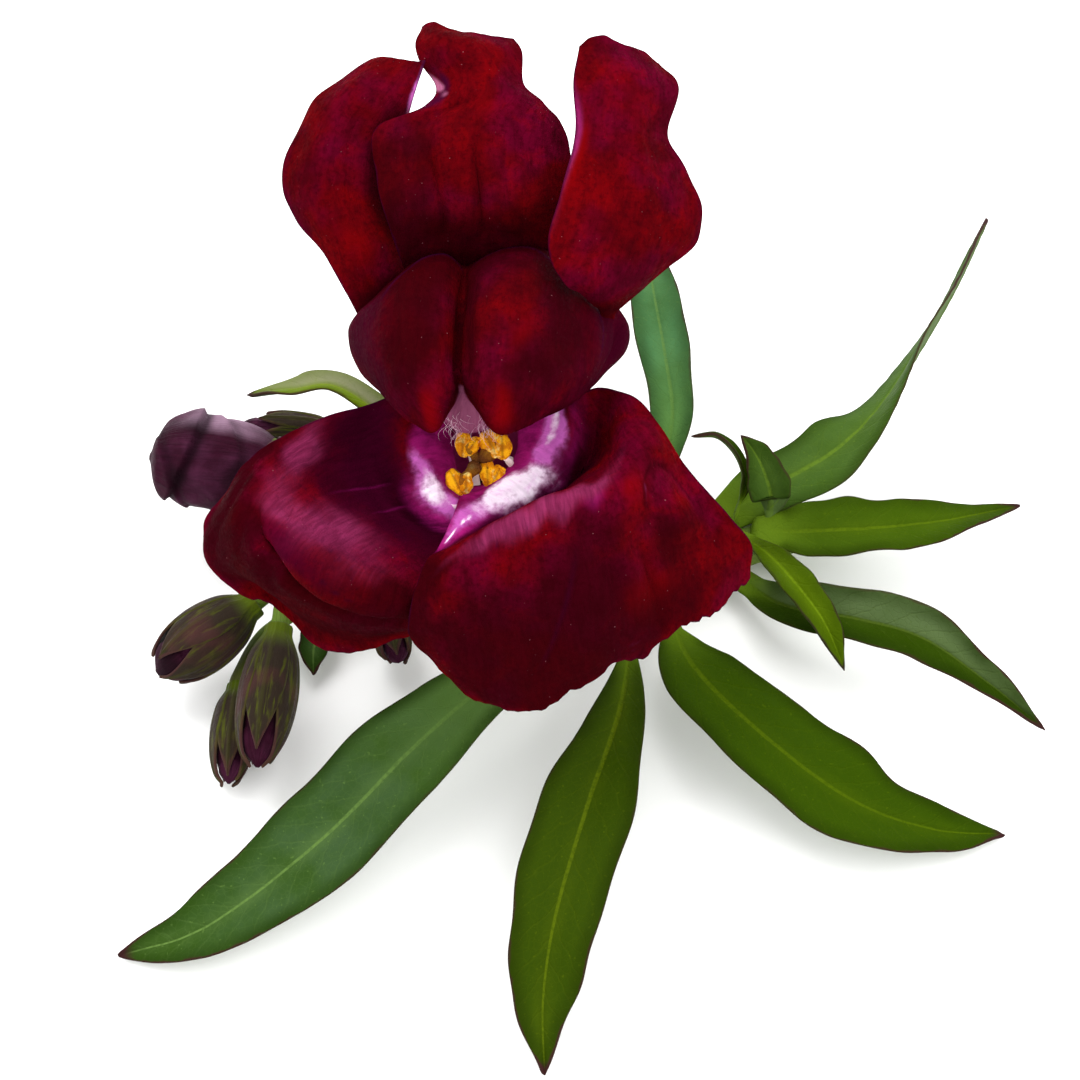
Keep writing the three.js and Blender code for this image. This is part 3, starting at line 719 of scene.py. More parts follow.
@dataclass(frozen=True)
class PetalFinish(Finish):
    """Velvety crimson, with patches that the mesh's masks place: bright red that is partly painted highlight, deep
    red that is partly painted shade in creases and on faces turned from the light, plum in the bowls, dusty pink
    with painted sheen on the rolled ridges, and white, lilac and magenta at the throat, whose shaded inside gets a
    painted glow."""

    name: str = "petal_velvet"
    slot: Slot = Slot.PETAL
    specular: float = 0.006
    bump_strength: float = 0.55
    bump_depth: float = 0.14
    crimson: Colour = (0.096, 0.0003, 0.0018)
    rose: Colour = (0.086, 0.0004, 0.011)
    # Lighter red, also laid as painted highlights.
    bright: Colour = (0.165, 0.0005, 0.0009)
    # Dark red, also laid as painted shade in creases and recesses and on faces turned from the light.
    deep: Colour = (0.020, 0.0001, 0.0014)
    plum: Colour = (0.034, 0.0003, 0.0085)
    # Dusty pink that also carries painted sheen on the rolled ridges.
    dusty: Colour = (0.215, 0.022, 0.082)
    pale: Colour = (0.95, 0.80, 0.94)
    lilac: Colour = (0.60, 0.14, 0.54)
    magenta: Colour = (0.34, 0.010, 0.15)
    mauve: Colour = (0.30, 0.080, 0.16)
    vein: Colour = (0.026, 0.0012, 0.017)
    underside: Colour = (0.085, 0.0012, 0.012)
    rim: Colour = (0.022, 0.0003, 0.010)
    # White specks, part dust and part painted glints.
    speck_and_glint: Colour = (0.40, 0.16, 0.18)
    shade: Colour = (0.25, 0.2, 0.25)

    def draw(self, graph: Graph) -> Look:
        """Lays the patches over mottled velvet, each with an edge that a texture breaks up, then the streaks, the
        back, the margin and the white specks, part dust and part painted glints, and gives back part of the colour
        as painted glow where its mask is set.

        Args:
            graph: the material's tree.

        Returns:
            The look.
        """
        cloud, fine = graph.noise(430.0, 6.0, 0.62, 0.3), graph.noise(3000.0, 4.0, 0.65)
        soft, threads = graph.streaks(1.1, 0.45), graph.streaks(3.0, 0.5)
        spots = graph.noise(2000.0, 3.0, 0.6).step(0.22, 0.78)
        colour = graph.mix(graph.noise(180.0, 3.0, 0.5).step(0.42, 0.62), self.crimson, self.rose).under(
            (self.deep, cloud.step(0.44, 0.68) * 0.50), (self.bright, cloud.step(0.47, 0.36) * 0.32),
            (self.deep, soft.step(0.35, 0.95) * 0.30), (self.deep, fine.step(0.45, 0.70) * 0.5))
        # Dusty pink with painted sheen on the ridges, streaked with plum threads.
        dusty = graph.mix(cloud.step(0.35, 0.65) * 0.40, self.dusty, self.rose).under((self.plum, threads * 0.38))
        magenta = graph.mix(soft * 0.55, self.magenta, self.plum)
        lilac = graph.mix(cloud * 0.4, self.lilac, self.magenta)
        pale = graph.mix(cloud.step(0.54, 0.80), self.pale, self.lilac)
        # Bright patches are partly painted highlights, deep ones partly painted shade, and dusty ones carry painted
        # sheen.
        patches_on_top = (
            (Tint.BRIGHT, self.bright, cloud, 0.85, 0.45), (Tint.PLUM, self.plum, cloud, 1.0, 0.45),
            (Tint.MAGENTA, magenta, cloud, 1.0, 0.45), (Tint.DUSTY, dusty, cloud, 0.92, 0.45),
            (Tint.DEEP, self.deep, cloud, 0.86, 0.45), (Tint.VEIN, self.vein, cloud, 0.85, 0.45),
            (Tint.MAUVE, self.mauve, cloud, 1.0, 0.35), (Tint.LILAC, lilac, spots, 0.95, 0.40),
            (Tint.PALE, pale, spots, 1.0, 0.33))
        for tint, over, texture, strength, softness in patches_on_top:
            broken = graph.mask(tint.value) * (texture * 0.7 + 0.65)
            colour = colour.under((over, broken.step(0.5 - softness, 0.5 + softness) * strength))
        colour = graph.mix(threads * 0.22, colour, self.shade, "MULTIPLY").under(
            (graph.mix(threads, self.underside, self.plum), graph.back()), (self.rim, graph.rim(0.20) * 0.65),
            # White specks, part dust and part painted glints.
            (self.speck_and_glint, graph.noise(7000.0, 0.0).step(0.87, 0.91) * 0.30))
        # Painted glow: part of the petal's colour given back as emission where its mask is set, inside the shaded
        # throat.
        glow = graph.mix(graph.mask("glow") * 0.36, BLACK, colour)
        return Look(colour, fine, (0.66, 0.86), threads * 0.4 + fine * 0.9 + cloud * 1.2, glow)


@dataclass(frozen=True)
class LeafTone:
    """The greens of one leaf: its face, the bluish painted sheen on it, its midrib and its underside. Which half
    has the sheen: 0 where both halves of the face have the painted sheen, and 1 or -1 where only one half does, as
    if that half faced the light. base_reach: the share of the leaf by which its paler foot has faded; where it
    reaches far, the paler foot is also painted light on the part of the leaf that the flower shades."""

    face: Colour
    # The bluish painted sheen, a reflection of the light painted onto the face.
    bloom_and_sheen: Colour
    sheen_share: float
    rib: Colour
    base: Colour = (0.075, 0.13, 0.006)
    back: Colour = (0.060, 0.10, 0.026)
    rim: Colour = (0.030, 0.010, 0.010)
    # Which half of the face has the painted sheen.
    sheen_side: float = 0.0
    base_reach: float = 0.22


class Green(Enum):
    """The tones that the shoot's leaves have."""

    # DARK and BLUE: a pale foot that reaches far up the leaf, partly painted light where the flower shades it. GREY
    # and BEIGE: painted sheen on one half only.
    DARK = LeafTone((0.018, 0.047, 0.002), (0.036, 0.071, 0.026), 0.9, (0.090, 0.16, 0.035),
                    base=(0.125, 0.245, 0.045), base_reach=0.56)
    OLIVE = LeafTone((0.021, 0.041, 0.0008), (0.024, 0.044, 0.001), 0.5, (0.065, 0.095, 0.002))
    MID = LeafTone((0.0195, 0.043, 0.0002), (0.024, 0.050, 0.0004), 0.5, (0.050, 0.084, 0.001))
    GREY = LeafTone((0.016, 0.036, 0.0005), (0.088, 0.132, 0.050), 0.9, (0.045, 0.075, 0.006), sheen_side=1.0)
    FRESH = LeafTone((0.027, 0.056, 0.0004), (0.038, 0.072, 0.003), 0.4, (0.060, 0.10, 0.002),
                     base_reach=0.30)
    SPRING = LeafTone((0.030, 0.066, 0.005), (0.050, 0.096, 0.020), 0.7, (0.080, 0.14, 0.012))
    BLUE = LeafTone((0.030, 0.078, 0.020), (0.050, 0.142, 0.056), 0.9, (0.070, 0.14, 0.035),
                    base=(0.075, 0.16, 0.025), base_reach=0.62)
    LIME = LeafTone((0.046, 0.085, 0.0005), (0.070, 0.115, 0.002), 0.4, (0.10, 0.16, 0.004),
                    rim=(0.020, 0.012, 0.008))
    BEIGE = LeafTone((0.105, 0.160, 0.001), (0.21, 0.195, 0.145), 1.0, (0.14, 0.17, 0.04), sheen_side=-0.5)


@dataclass(frozen=True)
class LeafFinish(Finish):
    """A leaf's skin: a face with a bluish painted sheen, a pale midrib, faint side veins, pale dots and a dark
    margin.
    """

    slot: Slot = Slot.LEAF
    specular: float = 0.012
    bump_strength: float = 0.45
    bump_depth: float = 0.08
    tone: Green = Green.MID

    def draw(self, graph: Graph) -> Look:
        """Lays the painted sheen, veins, dots and midrib over the face, then the foot, the edges, the back and the
        margin.

        Args:
            graph: the material's tree.

        Returns:
            The look.
        """
        tone = self.tone.value
        across, share = graph.mask("across_mm"), graph.mask("share")
        cloud, fine = graph.noise(260.0, 4.0, 0.6), graph.noise(3200.0, 3.0, 0.6)
        veins = graph.effect(
            Effect.VEINS, Across=across, Along=graph.mask("along_mm"), Spacing=2.3, Slant=1.5, Line=0.07)
        lines = graph.cells(2100.0, "DISTANCE_TO_EDGE").step(0.10, 0.02)
        # The bluish painted sheen, fading towards the tip, and on one half only where the tone asks for it.
        bloom_and_sheen = cloud.step(0.10, 0.80) * share.step(1.0, 0.55, 0.3, 1.0) * tone.sheen_share
        if tone.sheen_side:
            bloom_and_sheen = (bloom_and_sheen * 0.5 + 0.5) * (across * tone.sheen_side).step(-0.15, 0.25)
        rib = (abs(across) / share.step(0.0, 1.0, 0.27, 0.08)).step(1.0, 0.45)
        colour = graph.mix(bloom_and_sheen, tone.face, tone.bloom_and_sheen).under(
            (tone.rib, lines * 0.07), (tone.rib, veins * 0.12),
            (tone.rib, graph.noise(4300.0, 0.0).step(0.76, 0.82) * 0.35),
            (tone.rib, abs(across).step(1.1, 0.1) * cloud.step(0.3, 0.7, 0.06, 0.24)),
            (tone.rib, rib * fine.step(0.30, 0.60, 0.40, 1.0) * 0.9),
            # The paler foot; where it reaches far, it is also painted light over the flower's shade.
            (tone.base, share.step(tone.base_reach, 0.02)),
            (tuple(0.55 * part for part in tone.face),
             graph.mask("margin_mm").step(1.3, 0.1) * cloud.step(0.2, 0.7, 0.35, 0.85)),
            (graph.mix((veins + rib) * 0.5, tone.back, tone.rib), graph.back()),
            (tone.rim, graph.rim(0.21) * share.step(0.2, 0.9, 0.30, 0.92)),
            (tone.rim, share.step(0.955, 0.992)))
        return Look(colour, cloud, (0.42, 0.58), lines * -0.35 + veins * -0.8 + fine * 0.5)


@dataclass(frozen=True)
class StemFinish(Finish):
    """Green skin with long pale ridges and a purple flush, and a wet pale ring where the stem was cut."""

    name: str = "stem_skin"
    slot: Slot = Slot.STEM
    specular: float = 0.08
    bump_depth: float = 0.08
    green: Colour = (0.055, 0.10, 0.008)
    pale: Colour = (0.11, 0.17, 0.022)
    flush: Colour = (0.045, 0.012, 0.014)
    cut: Colour = (0.24, 0.30, 0.12)

    def draw(self, graph: Graph) -> Look:
        """Lays the flush and the cut's colour over the streaked skin.

        Args:
            graph: the material's tree.

        Returns:
            The look.
        """
        streaks, fine = graph.streaks(3.0, 0.25), graph.noise(2400.0, 4.0)
        flush = graph.noise(160.0).step(0.45, 0.66) * 0.65 * graph.mask("flush")
        colour = graph.mix(streaks, self.green, self.pale).under((self.flush, flush), (self.cut, graph.mask("cut")))
        return Look(colour, fine, (0.42, 0.6), streaks + fine * 0.6)


@dataclass(frozen=True)
class SepalFinish(Finish):
    """Sepals and calyx lobes: olive green stripes under a brown-purple flush, with a fine downy grain."""

    slot: Slot = Slot.SEPAL
    specular: float = 0.03
    sheen: float = 0.05
    sheen_tint: Colour = (0.8, 0.75, 0.85)
    bump_strength: float = 0.5
    bump_depth: float = 0.1
    green: Colour = (0.050, 0.058, 0.004)
    dusk: Colour = (0.017, 0.009, 0.0085)
    pink: Colour = (0.055, 0.018, 0.018)
    foot: Colour = (0.055, 0.080, 0.003)
    flush_share: float = 0.92

    def draw(self, graph: Graph) -> Look:
        """Lays the flush over the green, then the blush, the rib, the pale foot and the margin.

        Args:
            graph: the material's tree.

        Returns:
            The look.
        """
        streaks, fine, tipward = graph.streaks(2.6, 0.3), graph.noise(3000.0), graph.mask("tip")
        dusk = (streaks * 0.6 + graph.noise(420.0) * 0.8).step(0.30, 0.66) * self.flush_share
        edge = graph.mix(tipward.step(0.55, 0.95), self.green, self.pink)
        colour = graph.mix(dusk, self.green, self.dusk).under(
            (self.pink, graph.noise(260.0, 2.0).step(0.50, 0.68) * tipward),
            (self.green, abs(graph.mask("across_mm")).step(0.22, 0.05) * 0.22),
            (self.foot, tipward.step(0.26, 0.04)), (edge, graph.rim(0.28) * 0.6))
        return Look(colour, fine, (0.5, 0.7), streaks * 0.8 + fine)


@dataclass(frozen=True)
class BudFinish(Finish):
    """A closed bud's petals: dusky purple with a lilac bloom, darker along its veins, with painted shade under its
    folds and a painted highlight on the side that faces the light.
    """

    name: str = "bud_petals"
    slot: Slot = Slot.BUD
    specular: float = 0.02
    sheen: float = 0.02
    sheen_tint: Colour = (0.75, 0.65, 0.8)
    bump_strength: float = 0.5
    bump_depth: float = 0.1
    purple: Colour = (0.026, 0.0030, 0.011)
    bloom_and_sheen: Colour = (0.050, 0.010, 0.028)
    haze: Colour = (0.26, 0.155, 0.225)
    dusk: Colour = (0.010, 0.0022, 0.005)
    dark: Colour = (0.005, 0.0008, 0.0025)

    def draw(self, graph: Graph) -> Look:
        """Lays dusk, streaks, the painted highlight and the painted shade under the folds over the purple.

        Args:
            graph: the material's tree.

        Returns:
            The look.
        """
        streaks, cloud, fine = graph.streaks(2.4, 0.35), graph.noise(330.0, 4.0), graph.noise(2800.0, 4.0)
        # A painted highlight on the lit side and painted shade under the folds go over the purple.
        colour = graph.mix(cloud.step(0.42, 0.66), self.purple, self.bloom_and_sheen).under(
            (self.dusk, graph.noise(210.0, 2.0).step(0.48, 0.66)), (self.dark, streaks * 0.35),
            (self.haze, graph.mask("haze") * cloud.step(0.35, 0.65, 0.6, 1.0)), (self.dark, graph.mask("fold")))
        return Look(colour, fine, (0.5, 0.7), streaks + fine * 0.7)


@dataclass(frozen=True)
class TubeFinish(Finish):
    """The corolla's tube: white and lilac to magenta inside, and outside crimson that pales towards its base."""

    name: str = "tube_lining"
    slot: Slot = Slot.THROAT
    specular: float = 0.2
    sheen: float = 0.1
    sheen_tint: Colour = (0.9, 0.5, 0.7)
    bump_depth: float = 0.08
    mouth: Colour = (0.62, 0.06, 0.36)
    inside: Colour = (0.42, 0.03, 0.20)
    pale: Colour = (0.85, 0.66, 0.78)
    outside: Colour = (0.13, 0.005, 0.026)
    foot: Colour = (0.36, 0.14, 0.17)

    def draw(self, graph: Graph) -> Look:
        """Draws the inside, which has a painted glow near its mouth where it lies in shade, and the outside.

        Args:
            graph: the material's tree.

        Returns:
            The look.
        """
        depth, outer = graph.mask("depth"), graph.mask("outer")
        streaks, fine = graph.streaks(1.6, 0.2), graph.noise(2400.0, 4.0)
        lining = graph.mix(depth.step(0.05, 0.5), self.mouth, self.inside).under(
            (self.pale, graph.mask("floor") * streaks.step(0.2, 0.9, 1.0, 0.35)))
        wall = graph.mix(depth.step(0.35, 1.05), self.outside, self.foot).under((self.outside, streaks * 0.45))
        # Painted glow: a quarter of the lining's colour given back as emission near the mouth, none outside.
        glow = graph.mix(depth.step(0.45, 0.10) * 0.25, BLACK, lining).under((BLACK, outer))
        return Look(lining.under((wall, outer)), fine, (0.5, 0.68), streaks + fine * 0.6, glow)


@dataclass(frozen=True)
class PollenFinish(Finish):
    """Anthers: golden grains with creamy heaps that are partly painted highlights, brown in the slits and on the
    dry sides, and a faint painted glow.
    """

    name: str = "pollen"
    slot: Slot = Slot.ANTHER
    specular: float = 0.05
    bump_strength: float = 0.8
    bump_depth: float = 0.10
    gold: Colour = (0.95, 0.44, 0.008)
    amber: Colour = (0.62, 0.20, 0.004)
    cream_and_highlight: Colour = (0.98, 0.80, 0.25)
    brown: Colour = (0.095, 0.030, 0.008)

    def draw(self, graph: Graph) -> Look:
        """Lays cream, partly painted highlights, and brown over the gold, with round grains as relief, and gives
        back a sixth of the colour as painted glow.

        Args:
            graph: the material's tree.

        Returns:
            The look.
        """
        cloud = graph.noise(1100.0)
        dry = graph.calc("MAXIMUM", graph.mask("slit"), graph.noise(800.0, 2.0).step(0.66, 0.76))
        # Cream heaps placed by noise are partly painted highlights.
        colour = graph.mix(graph.noise(1700.0, 2.0).step(0.40, 0.62), self.amber, self.gold).under(
            (self.cream_and_highlight, cloud.step(0.54, 0.70)), (self.brown, dry))
        grains = 1.0 - graph.cells(7500.0, "F1")
        # A sixth of the colour comes back as painted glow, so the anthers in the throat's shade look lit.
        return Look(colour, cloud, (0.7, 0.9), grains, graph.mix(0.16, BLACK, colour))


@dataclass(frozen=True)
class FilamentFinish(Finish):
    """Filaments, the style and the palate's hairs: white tissue, flushed in places, with a painted glow where one
    is set.
    """

    slot: Slot = Slot.FILAMENT
    specular: float = 0.2
    bump_strength: float = 0.25
    bump_depth: float = 0.04
    white: Colour = (0.92, 0.82, 0.80)
    flush: Colour = (0.80, 0.62, 0.58)
    # The share of the colour given back as painted glow.
    glow: float = 0.0

    def draw(self, graph: Graph) -> Look:
        """Mixes the two colours by noise, and gives back a share of them as painted glow.

        Args:
            graph: the material's tree.

        Returns:
            The look.
        """
        fine = graph.noise(2600.0)
        colour = graph.mix(graph.noise(700.0, 2.0).step(0.35, 0.7), self.white, self.flush)
        return Look(colour, fine, (0.35, 0.5), fine, graph.mix(self.glow, BLACK, colour))


PETAL_VELVET, TUBE_LINING, POLLEN, STEM_SKIN, BUD_PETALS = (
    PetalFinish(), TubeFinish(), PollenFinish(), StemFinish(), BudFinish())
# The white tissue and the palate's hairs get a painted glow, so they look lit in the throat's shade.
WHITE_TISSUE = FilamentFinish("filament_white", glow=0.30)
PALATE_HAIR = FilamentFinish("palate_hair", white=(0.86, 0.62, 0.72), flush=(0.66, 0.34, 0.48), glow=0.06)
OVARY_GREEN = FilamentFinish("ovary_green", Slot.SEPAL, white=(0.16, 0.24, 0.07), flush=(0.24, 0.34, 0.12))
SEPAL_GREEN = SepalFinish("sepal_green", green=(0.05, 0.085, 0.010), dusk=(0.030, 0.018, 0.012), flush_share=0.6)
CALYX_DUSK = SepalFinish("calyx_dusk")


# ---- Pieces ----


def linked(name: str, data: bpy.types.ID) -> bpy.types.Object:
    """A new object of the scene.

    Args:
        name: its name.
        data: its mesh, lamp or camera.

    Returns:
        The object.
    """
    made = bpy.data.objects.new(name, data)
    bpy.context.scene.collection.objects.link(made)
    return made


def add_piece(name: str, shell: Shell, finish: Finish, *stands_for: str) -> None:
    """Args:
        name: the piece's name.
        shell: its body, in the shoot's millimetres.
        finish: its finish, whose material the piece gets.
        stands_for: the solids that it replaces.
    """
    faces = [part for part in (shell.quads, shell.triangles) if len(part)]
    sizes = np.concatenate([np.full(len(part), part.shape[1]) for part in faces])
    mesh = bpy.data.meshes.new(name)
    mesh.vertices.add(len(shell.vertices))
    points = shell.vertices + SHOOT_OFFSET
    points[:, 2] = np.maximum(points[:, 2], LEAST_HEIGHT)
    mesh.vertices.foreach_set("co", (points * MM).astype(np.float32).ravel())
    mesh.loops.add(int(sizes.sum()))
    mesh.loops.foreach_set("vertex_index", np.concatenate([part.ravel() for part in faces]).astype(np.int32))
    mesh.polygons.add(len(sizes))
    mesh.polygons.foreach_set("loop_start", (np.cumsum(sizes) - sizes).astype(np.int32))
    mesh.update(calc_edges=True)
    mesh.polygons.foreach_set("use_smooth", np.ones(len(sizes), bool))
    for mask, values in shell.masks.items():
        mesh.attributes.new(mask, "FLOAT", "POINT").data.foreach_set("value", values.astype(np.float32))
    mesh.materials.append(finish.material())
    piece = linked(name, mesh)
    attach(piece, BODY)
    if stands_for:
        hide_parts(*stands_for)
    LOG.info("%s: %d faces", name, len(sizes))


# ---- Stem ----


@dataclass(frozen=True)
class Stem:
    """The cut shoot's main stem, from its cut end on the right to its tip among the buds. nodes: where along it
    leaves stand. inward and sunk: the rings of its cut face, as shares of its radius and millimetres in."""

    path: tuple[Place, ...] = (
        (14.4, 4.6, 1.8), (12.0, 3.6, 1.9), (8.1, 1.5, 2.4), (3.7, -1.0, 3.0), (-6.4, -0.6, 3.4),
        (-13.5, -0.6, 3.7), (-20.4, -2.6, 4.4))
    cut_radius: float = 1.7
    tip_radius: float = 0.9
    nodes: tuple[float, ...] = (0.27, 0.78)
    node_swell: float = 0.16
    ridge: float = 0.035
    inward: tuple[float, ...] = (0.06, 0.45, 0.55, 0.9, 0.985)
    sunk: tuple[float, ...] = (0.16, 0.14, 0.03, 0.0, -0.02)
    steps: int = 160
    sides: int = 48

    def line(self, count: int) -> Points:
        """Points along the stem's middle."""
        return smooth(np.array(self.path), count)

    def root_for(self, point: Points) -> Points:
        """The point of the stem's middle that is nearest to another point."""
        line = self.line(400)
        return line[np.argmin(np.linalg.norm(line - point, axis=1))]

    def shell(self) -> Shell:
        """The stem's body.

        Its radius falls evenly from the cut end to the tip, swells as a bell curve at each node, and carries
        four low ridges, 1 + ridge cos(4 a + 3 t). At the cut end, rings shrink to the sunken pith.

        Returns:
            The body, with masks for its flush, its cut face and its millimetres.
        """
        share, angle = np.linspace(0.0, 1.0, self.steps), circle(self.sides)
        swell = 1.0 + self.node_swell * sum(bell(share - node, 0.035) for node in self.nodes)
        tip = np.maximum(feather(1.0 - share, 0.03), 0.1)
        radius = (self.cut_radius + (self.tip_radius - self.cut_radius) * share) * swell * tip
        radii = radius[:, None] * (1.0 + self.ridge * np.cos(4.0 * angle + 3.0 * share[:, None]))
        line = self.line(self.steps)
        rings = rings_along(line, radii)
        inward, sunk = (np.array(row)[:, None, None] for row in (self.inward, self.sunk))
        face = line[0] + (rings[0] - line[0]) * inward + unit(line[1] - line[0]) * sunk
        cut_rings = len(inward)
        shape = (self.steps + cut_rings, self.sides)
        masks = {
            "cut": ringed(np.repeat((1.0, 0.0), (cut_rings, self.steps)), self.sides),
            "flush": np.full(shape, 0.7),
            "across_mm": np.broadcast_to(5.0 * np.cos(angle), shape),
            "along_mm": ringed(np.pad(40.0 * share, (cut_rings, 0)), self.sides),
        }
        return ring_shell(np.concatenate((face, rings)), masks)

    def build(self) -> None:
        """Makes the stem's piece."""
        add_piece("stem_piece", self.shell(), STEM_SKIN, "stem")


def stalk_shell(controls: Points, radii: Sequence[float], sides: int = 20, steps: int = 40) -> Shell:
    """A stalk through control points, with a radius at each of them.

    Both the path and the radius follow the same smooth curve, and a low ridge 1 + 0.04 cos 5a runs along it.

    Args:
        controls: points along its middle.
        radii: its radius at each.
        sides: how many sides it has.
        steps: how many rings it has.

    Returns:
        The stalk.
    """
    both = smooth(np.column_stack((controls, radii)), steps)
    path, angle = both[:, :3], circle(sides)
    masks = {
        "flush": np.full((steps, sides), 0.8),
        "across_mm": np.broadcast_to(3.0 * np.cos(angle), (steps, sides)),
        "along_mm": np.repeat(running_length(path[:, None], 0), sides, axis=1),
    }
    return ring_shell(rings_along(path, both[:, 3:] * (1.0 + 0.04 * np.cos(5.0 * angle))), masks)


# ---- Leaves ----


@dataclass(frozen=True)
class Leaf:
    """One lance-shaped leaf. spine: points of its midrib from stalk to tip. half: half its greatest width.
    widest: where along it that is. fold: how steeply, in degrees, each side rises from the midrib. roll: how
    far it is turned about its midrib at each point of the spine, in degrees. lead: rows inside the stem."""

    name: str
    green: Green
    spine: tuple[Place, ...]
    half: float
    widest: float
    fold: float
    roll: tuple[float, ...]
    seed: int
    wave: float = 0.05
    stalk_share: float = 0.17
    stalk_end: float = 0.08
    least_half: float = 0.05
    thickness: float = 0.30
    rib_height: float = 0.26
    rib_half: float = 0.24
    lead: int = 6
    rows: int = 150
    columns: int = 41

    def width(self, share: Values) -> Values:
        """Half the blade's width at each share of the leaf's length.

        A narrow stalk, then the lance shape sin(pi x^p)^0.85, where x runs from the stalk's end to the tip and
        p puts the greatest width at its place.

        Args:
            share: from 0 at the stalk to 1 at the tip.

        Returns:
            Half the width, in millimetres.
        """
        along = np.clip((share - self.stalk_end) / (1.0 - self.stalk_end), 0.0, 1.0)
        power = math.log(0.5) / math.log(self.widest)
        lance = np.abs(np.sin(math.pi * along**power)) ** 0.85
        stalk = self.stalk_share * (1.0 - share)
        return np.maximum(self.least_half, self.half * np.sqrt(lance**2 + stalk**2))

    def margins(self, share: Values) -> tuple[Values, Values]:
        """How uneven the margins are: 1 plus two slow sine waves on each side.

        Args:
            share: from 0 at the stalk to 1 at the tip.

        Returns:
            How much wider or narrower than the lance shape the left and the right side are.
        """
        phase = np.random.default_rng(self.seed).uniform(0.0, TURN, 4)
        turns = TURN * share
        left = 1.0 + 0.050 * np.sin(2.3 * turns + phase[0]) + 0.028 * np.sin(6.1 * turns + phase[1])
        right = 1.0 + 0.050 * np.sin(2.7 * turns + phase[2]) + 0.028 * np.sin(5.3 * turns + phase[3])
        return left, right

    def midrib(self, stem: Stem) -> tuple[Points, Points, Points, Values, Values]:
        """The midrib, from inside the stem to the tip.

        Args:
            stem: the stem that it grows from.

        Returns:
            Its points, the blade's unit side and up vectors, its shares along and half the blade's widths.
        """
        spine = np.array(self.spine)
        share = eased(self.rows, 0.35)
        controls = share * (len(spine) - 1)
        centre = smooth_at(spine, controls)
        turn = np.radians(smooth_at(np.array(self.roll)[:, None], controls))
        side, up = path_frames(centre)
        side, up = side * np.cos(turn) + up * np.sin(turn), up * np.cos(turn) - side * np.sin(turn)
        width = self.width(share)
        root = stem.root_for(spine[0])
        lead = np.linspace(0.0, 1.0, self.lead + 1)[:-1, None]
        centre = np.concatenate((root + (centre[0] - root) * lead, centre))
        side, up = (np.pad(way, ((self.lead, 0), (0, 0)), "edge") for way in (side, up))
        width = np.concatenate((width[0] * (1.35 - 0.35 * lead[:, 0]), width))
        return centre, side, up, np.pad(share, (self.lead, 0)), width

    def lift(self, share: Values, s: Values, reach: Values, blade: Values) -> Values:
        """How far the blade stands above its midrib.

        With s from -1 to 1 across it, that is w tan(fold) (sqrt(s^2 + r^2) - r), so the fold is rounded over
        the midrib. The margins wave up and down as s^2 sin, each side out of step, and the last part of each
        side bends down again.

        Args:
            share: the share along of each row.
            s: the place across of each column.
            reach: the width w of its side at each point.
            blade: how far each row is out of the stalk, from 0 to 1.

        Returns:
            The height of each point, in millimetres.
        """
        rise = math.tan(math.radians(self.fold))
        lift = reach * rise * (np.sqrt(s**2 + 0.02) - math.sqrt(0.02)) * (0.4 + 0.6 * blade)
        phase = np.random.default_rng(self.seed + 100).uniform(0.0, TURN, 2)
        beat = TURN * 3.1 * share[:, None]
        ripple = np.where(s < 0.0, np.sin(beat + phase[0]), np.sin(1.2 * beat + phase[1]))
        lift = lift + blade * self.half * self.wave * ripple * s**2
        return lift - blade * reach * 0.22 * np.clip(np.abs(s) - 0.62, 0.0, 1.0) ** 2

    def shell(self, stem: Stem) -> Shell:
        """The leaf's body, whose back carries a raised rib and whose front a groove, both bell curves.

        Args:
            stem: the stem that it grows from.

        Returns:
            The body, with masks for its millimetres and its share along.
        """
        centre, side, up, share, width = self.midrib(stem)
        s = 2.0 * eased(self.columns, 0.5) - 1.0
        left, right = self.margins(share)
        reach = width[:, None] * np.where(s < 0.0, left[:, None], right[:, None])
        blade = ease(share, 0.03, 0.16)[:, None]
        lift = self.lift(share, s, reach, blade)
        middle = centre[:, None] + side[:, None] * (s * reach)[..., None] + up[:, None] * lift[..., None]
        middle = middle + up[:, None] * (0.035 * waves(middle, 1.7, self.seed) * blade)[..., None]
        along = ringed(running_length(middle, 0)[:, self.columns // 2], self.columns)
        profile = np.sqrt(np.clip(1.0 - np.abs(s) ** (2.0 + 4.0 * blade), 0.0, 1.0))
        profile = profile * feather(along[-1:] - along, 0.6)
        half = profile * (0.5 * self.thickness + 0.26 * (1.0 - blade))
        across = s * reach
        ribbed = bell(across, self.rib_half) * profile * (1.0 - 0.75 * share[:, None]) * min(1.0, self.half / 2.0)
        masks = {
            "across_mm": across,
            "along_mm": along,
            "margin_mm": np.minimum(reach * (1.0 - np.abs(s)), along[-1:] - along) + 2.0 * (1.0 - blade),
            "share": ringed(share, self.columns),
        }
        groove = half - 0.35 * self.rib_height * bell(across, 0.7 * self.rib_half) * profile * blade
        return sheet_shell(middle, groove, masks, turned=True, back_half=half + self.rib_height * ribbed)

    def build(self, stem: Stem) -> None:
        """Makes the leaf's piece."""
        finish = LeafFinish(f"leaf_{self.green.name.lower()}", tone=self.green)
        add_piece(f"{self.name}_blade", self.shell(stem), finish, self.name)


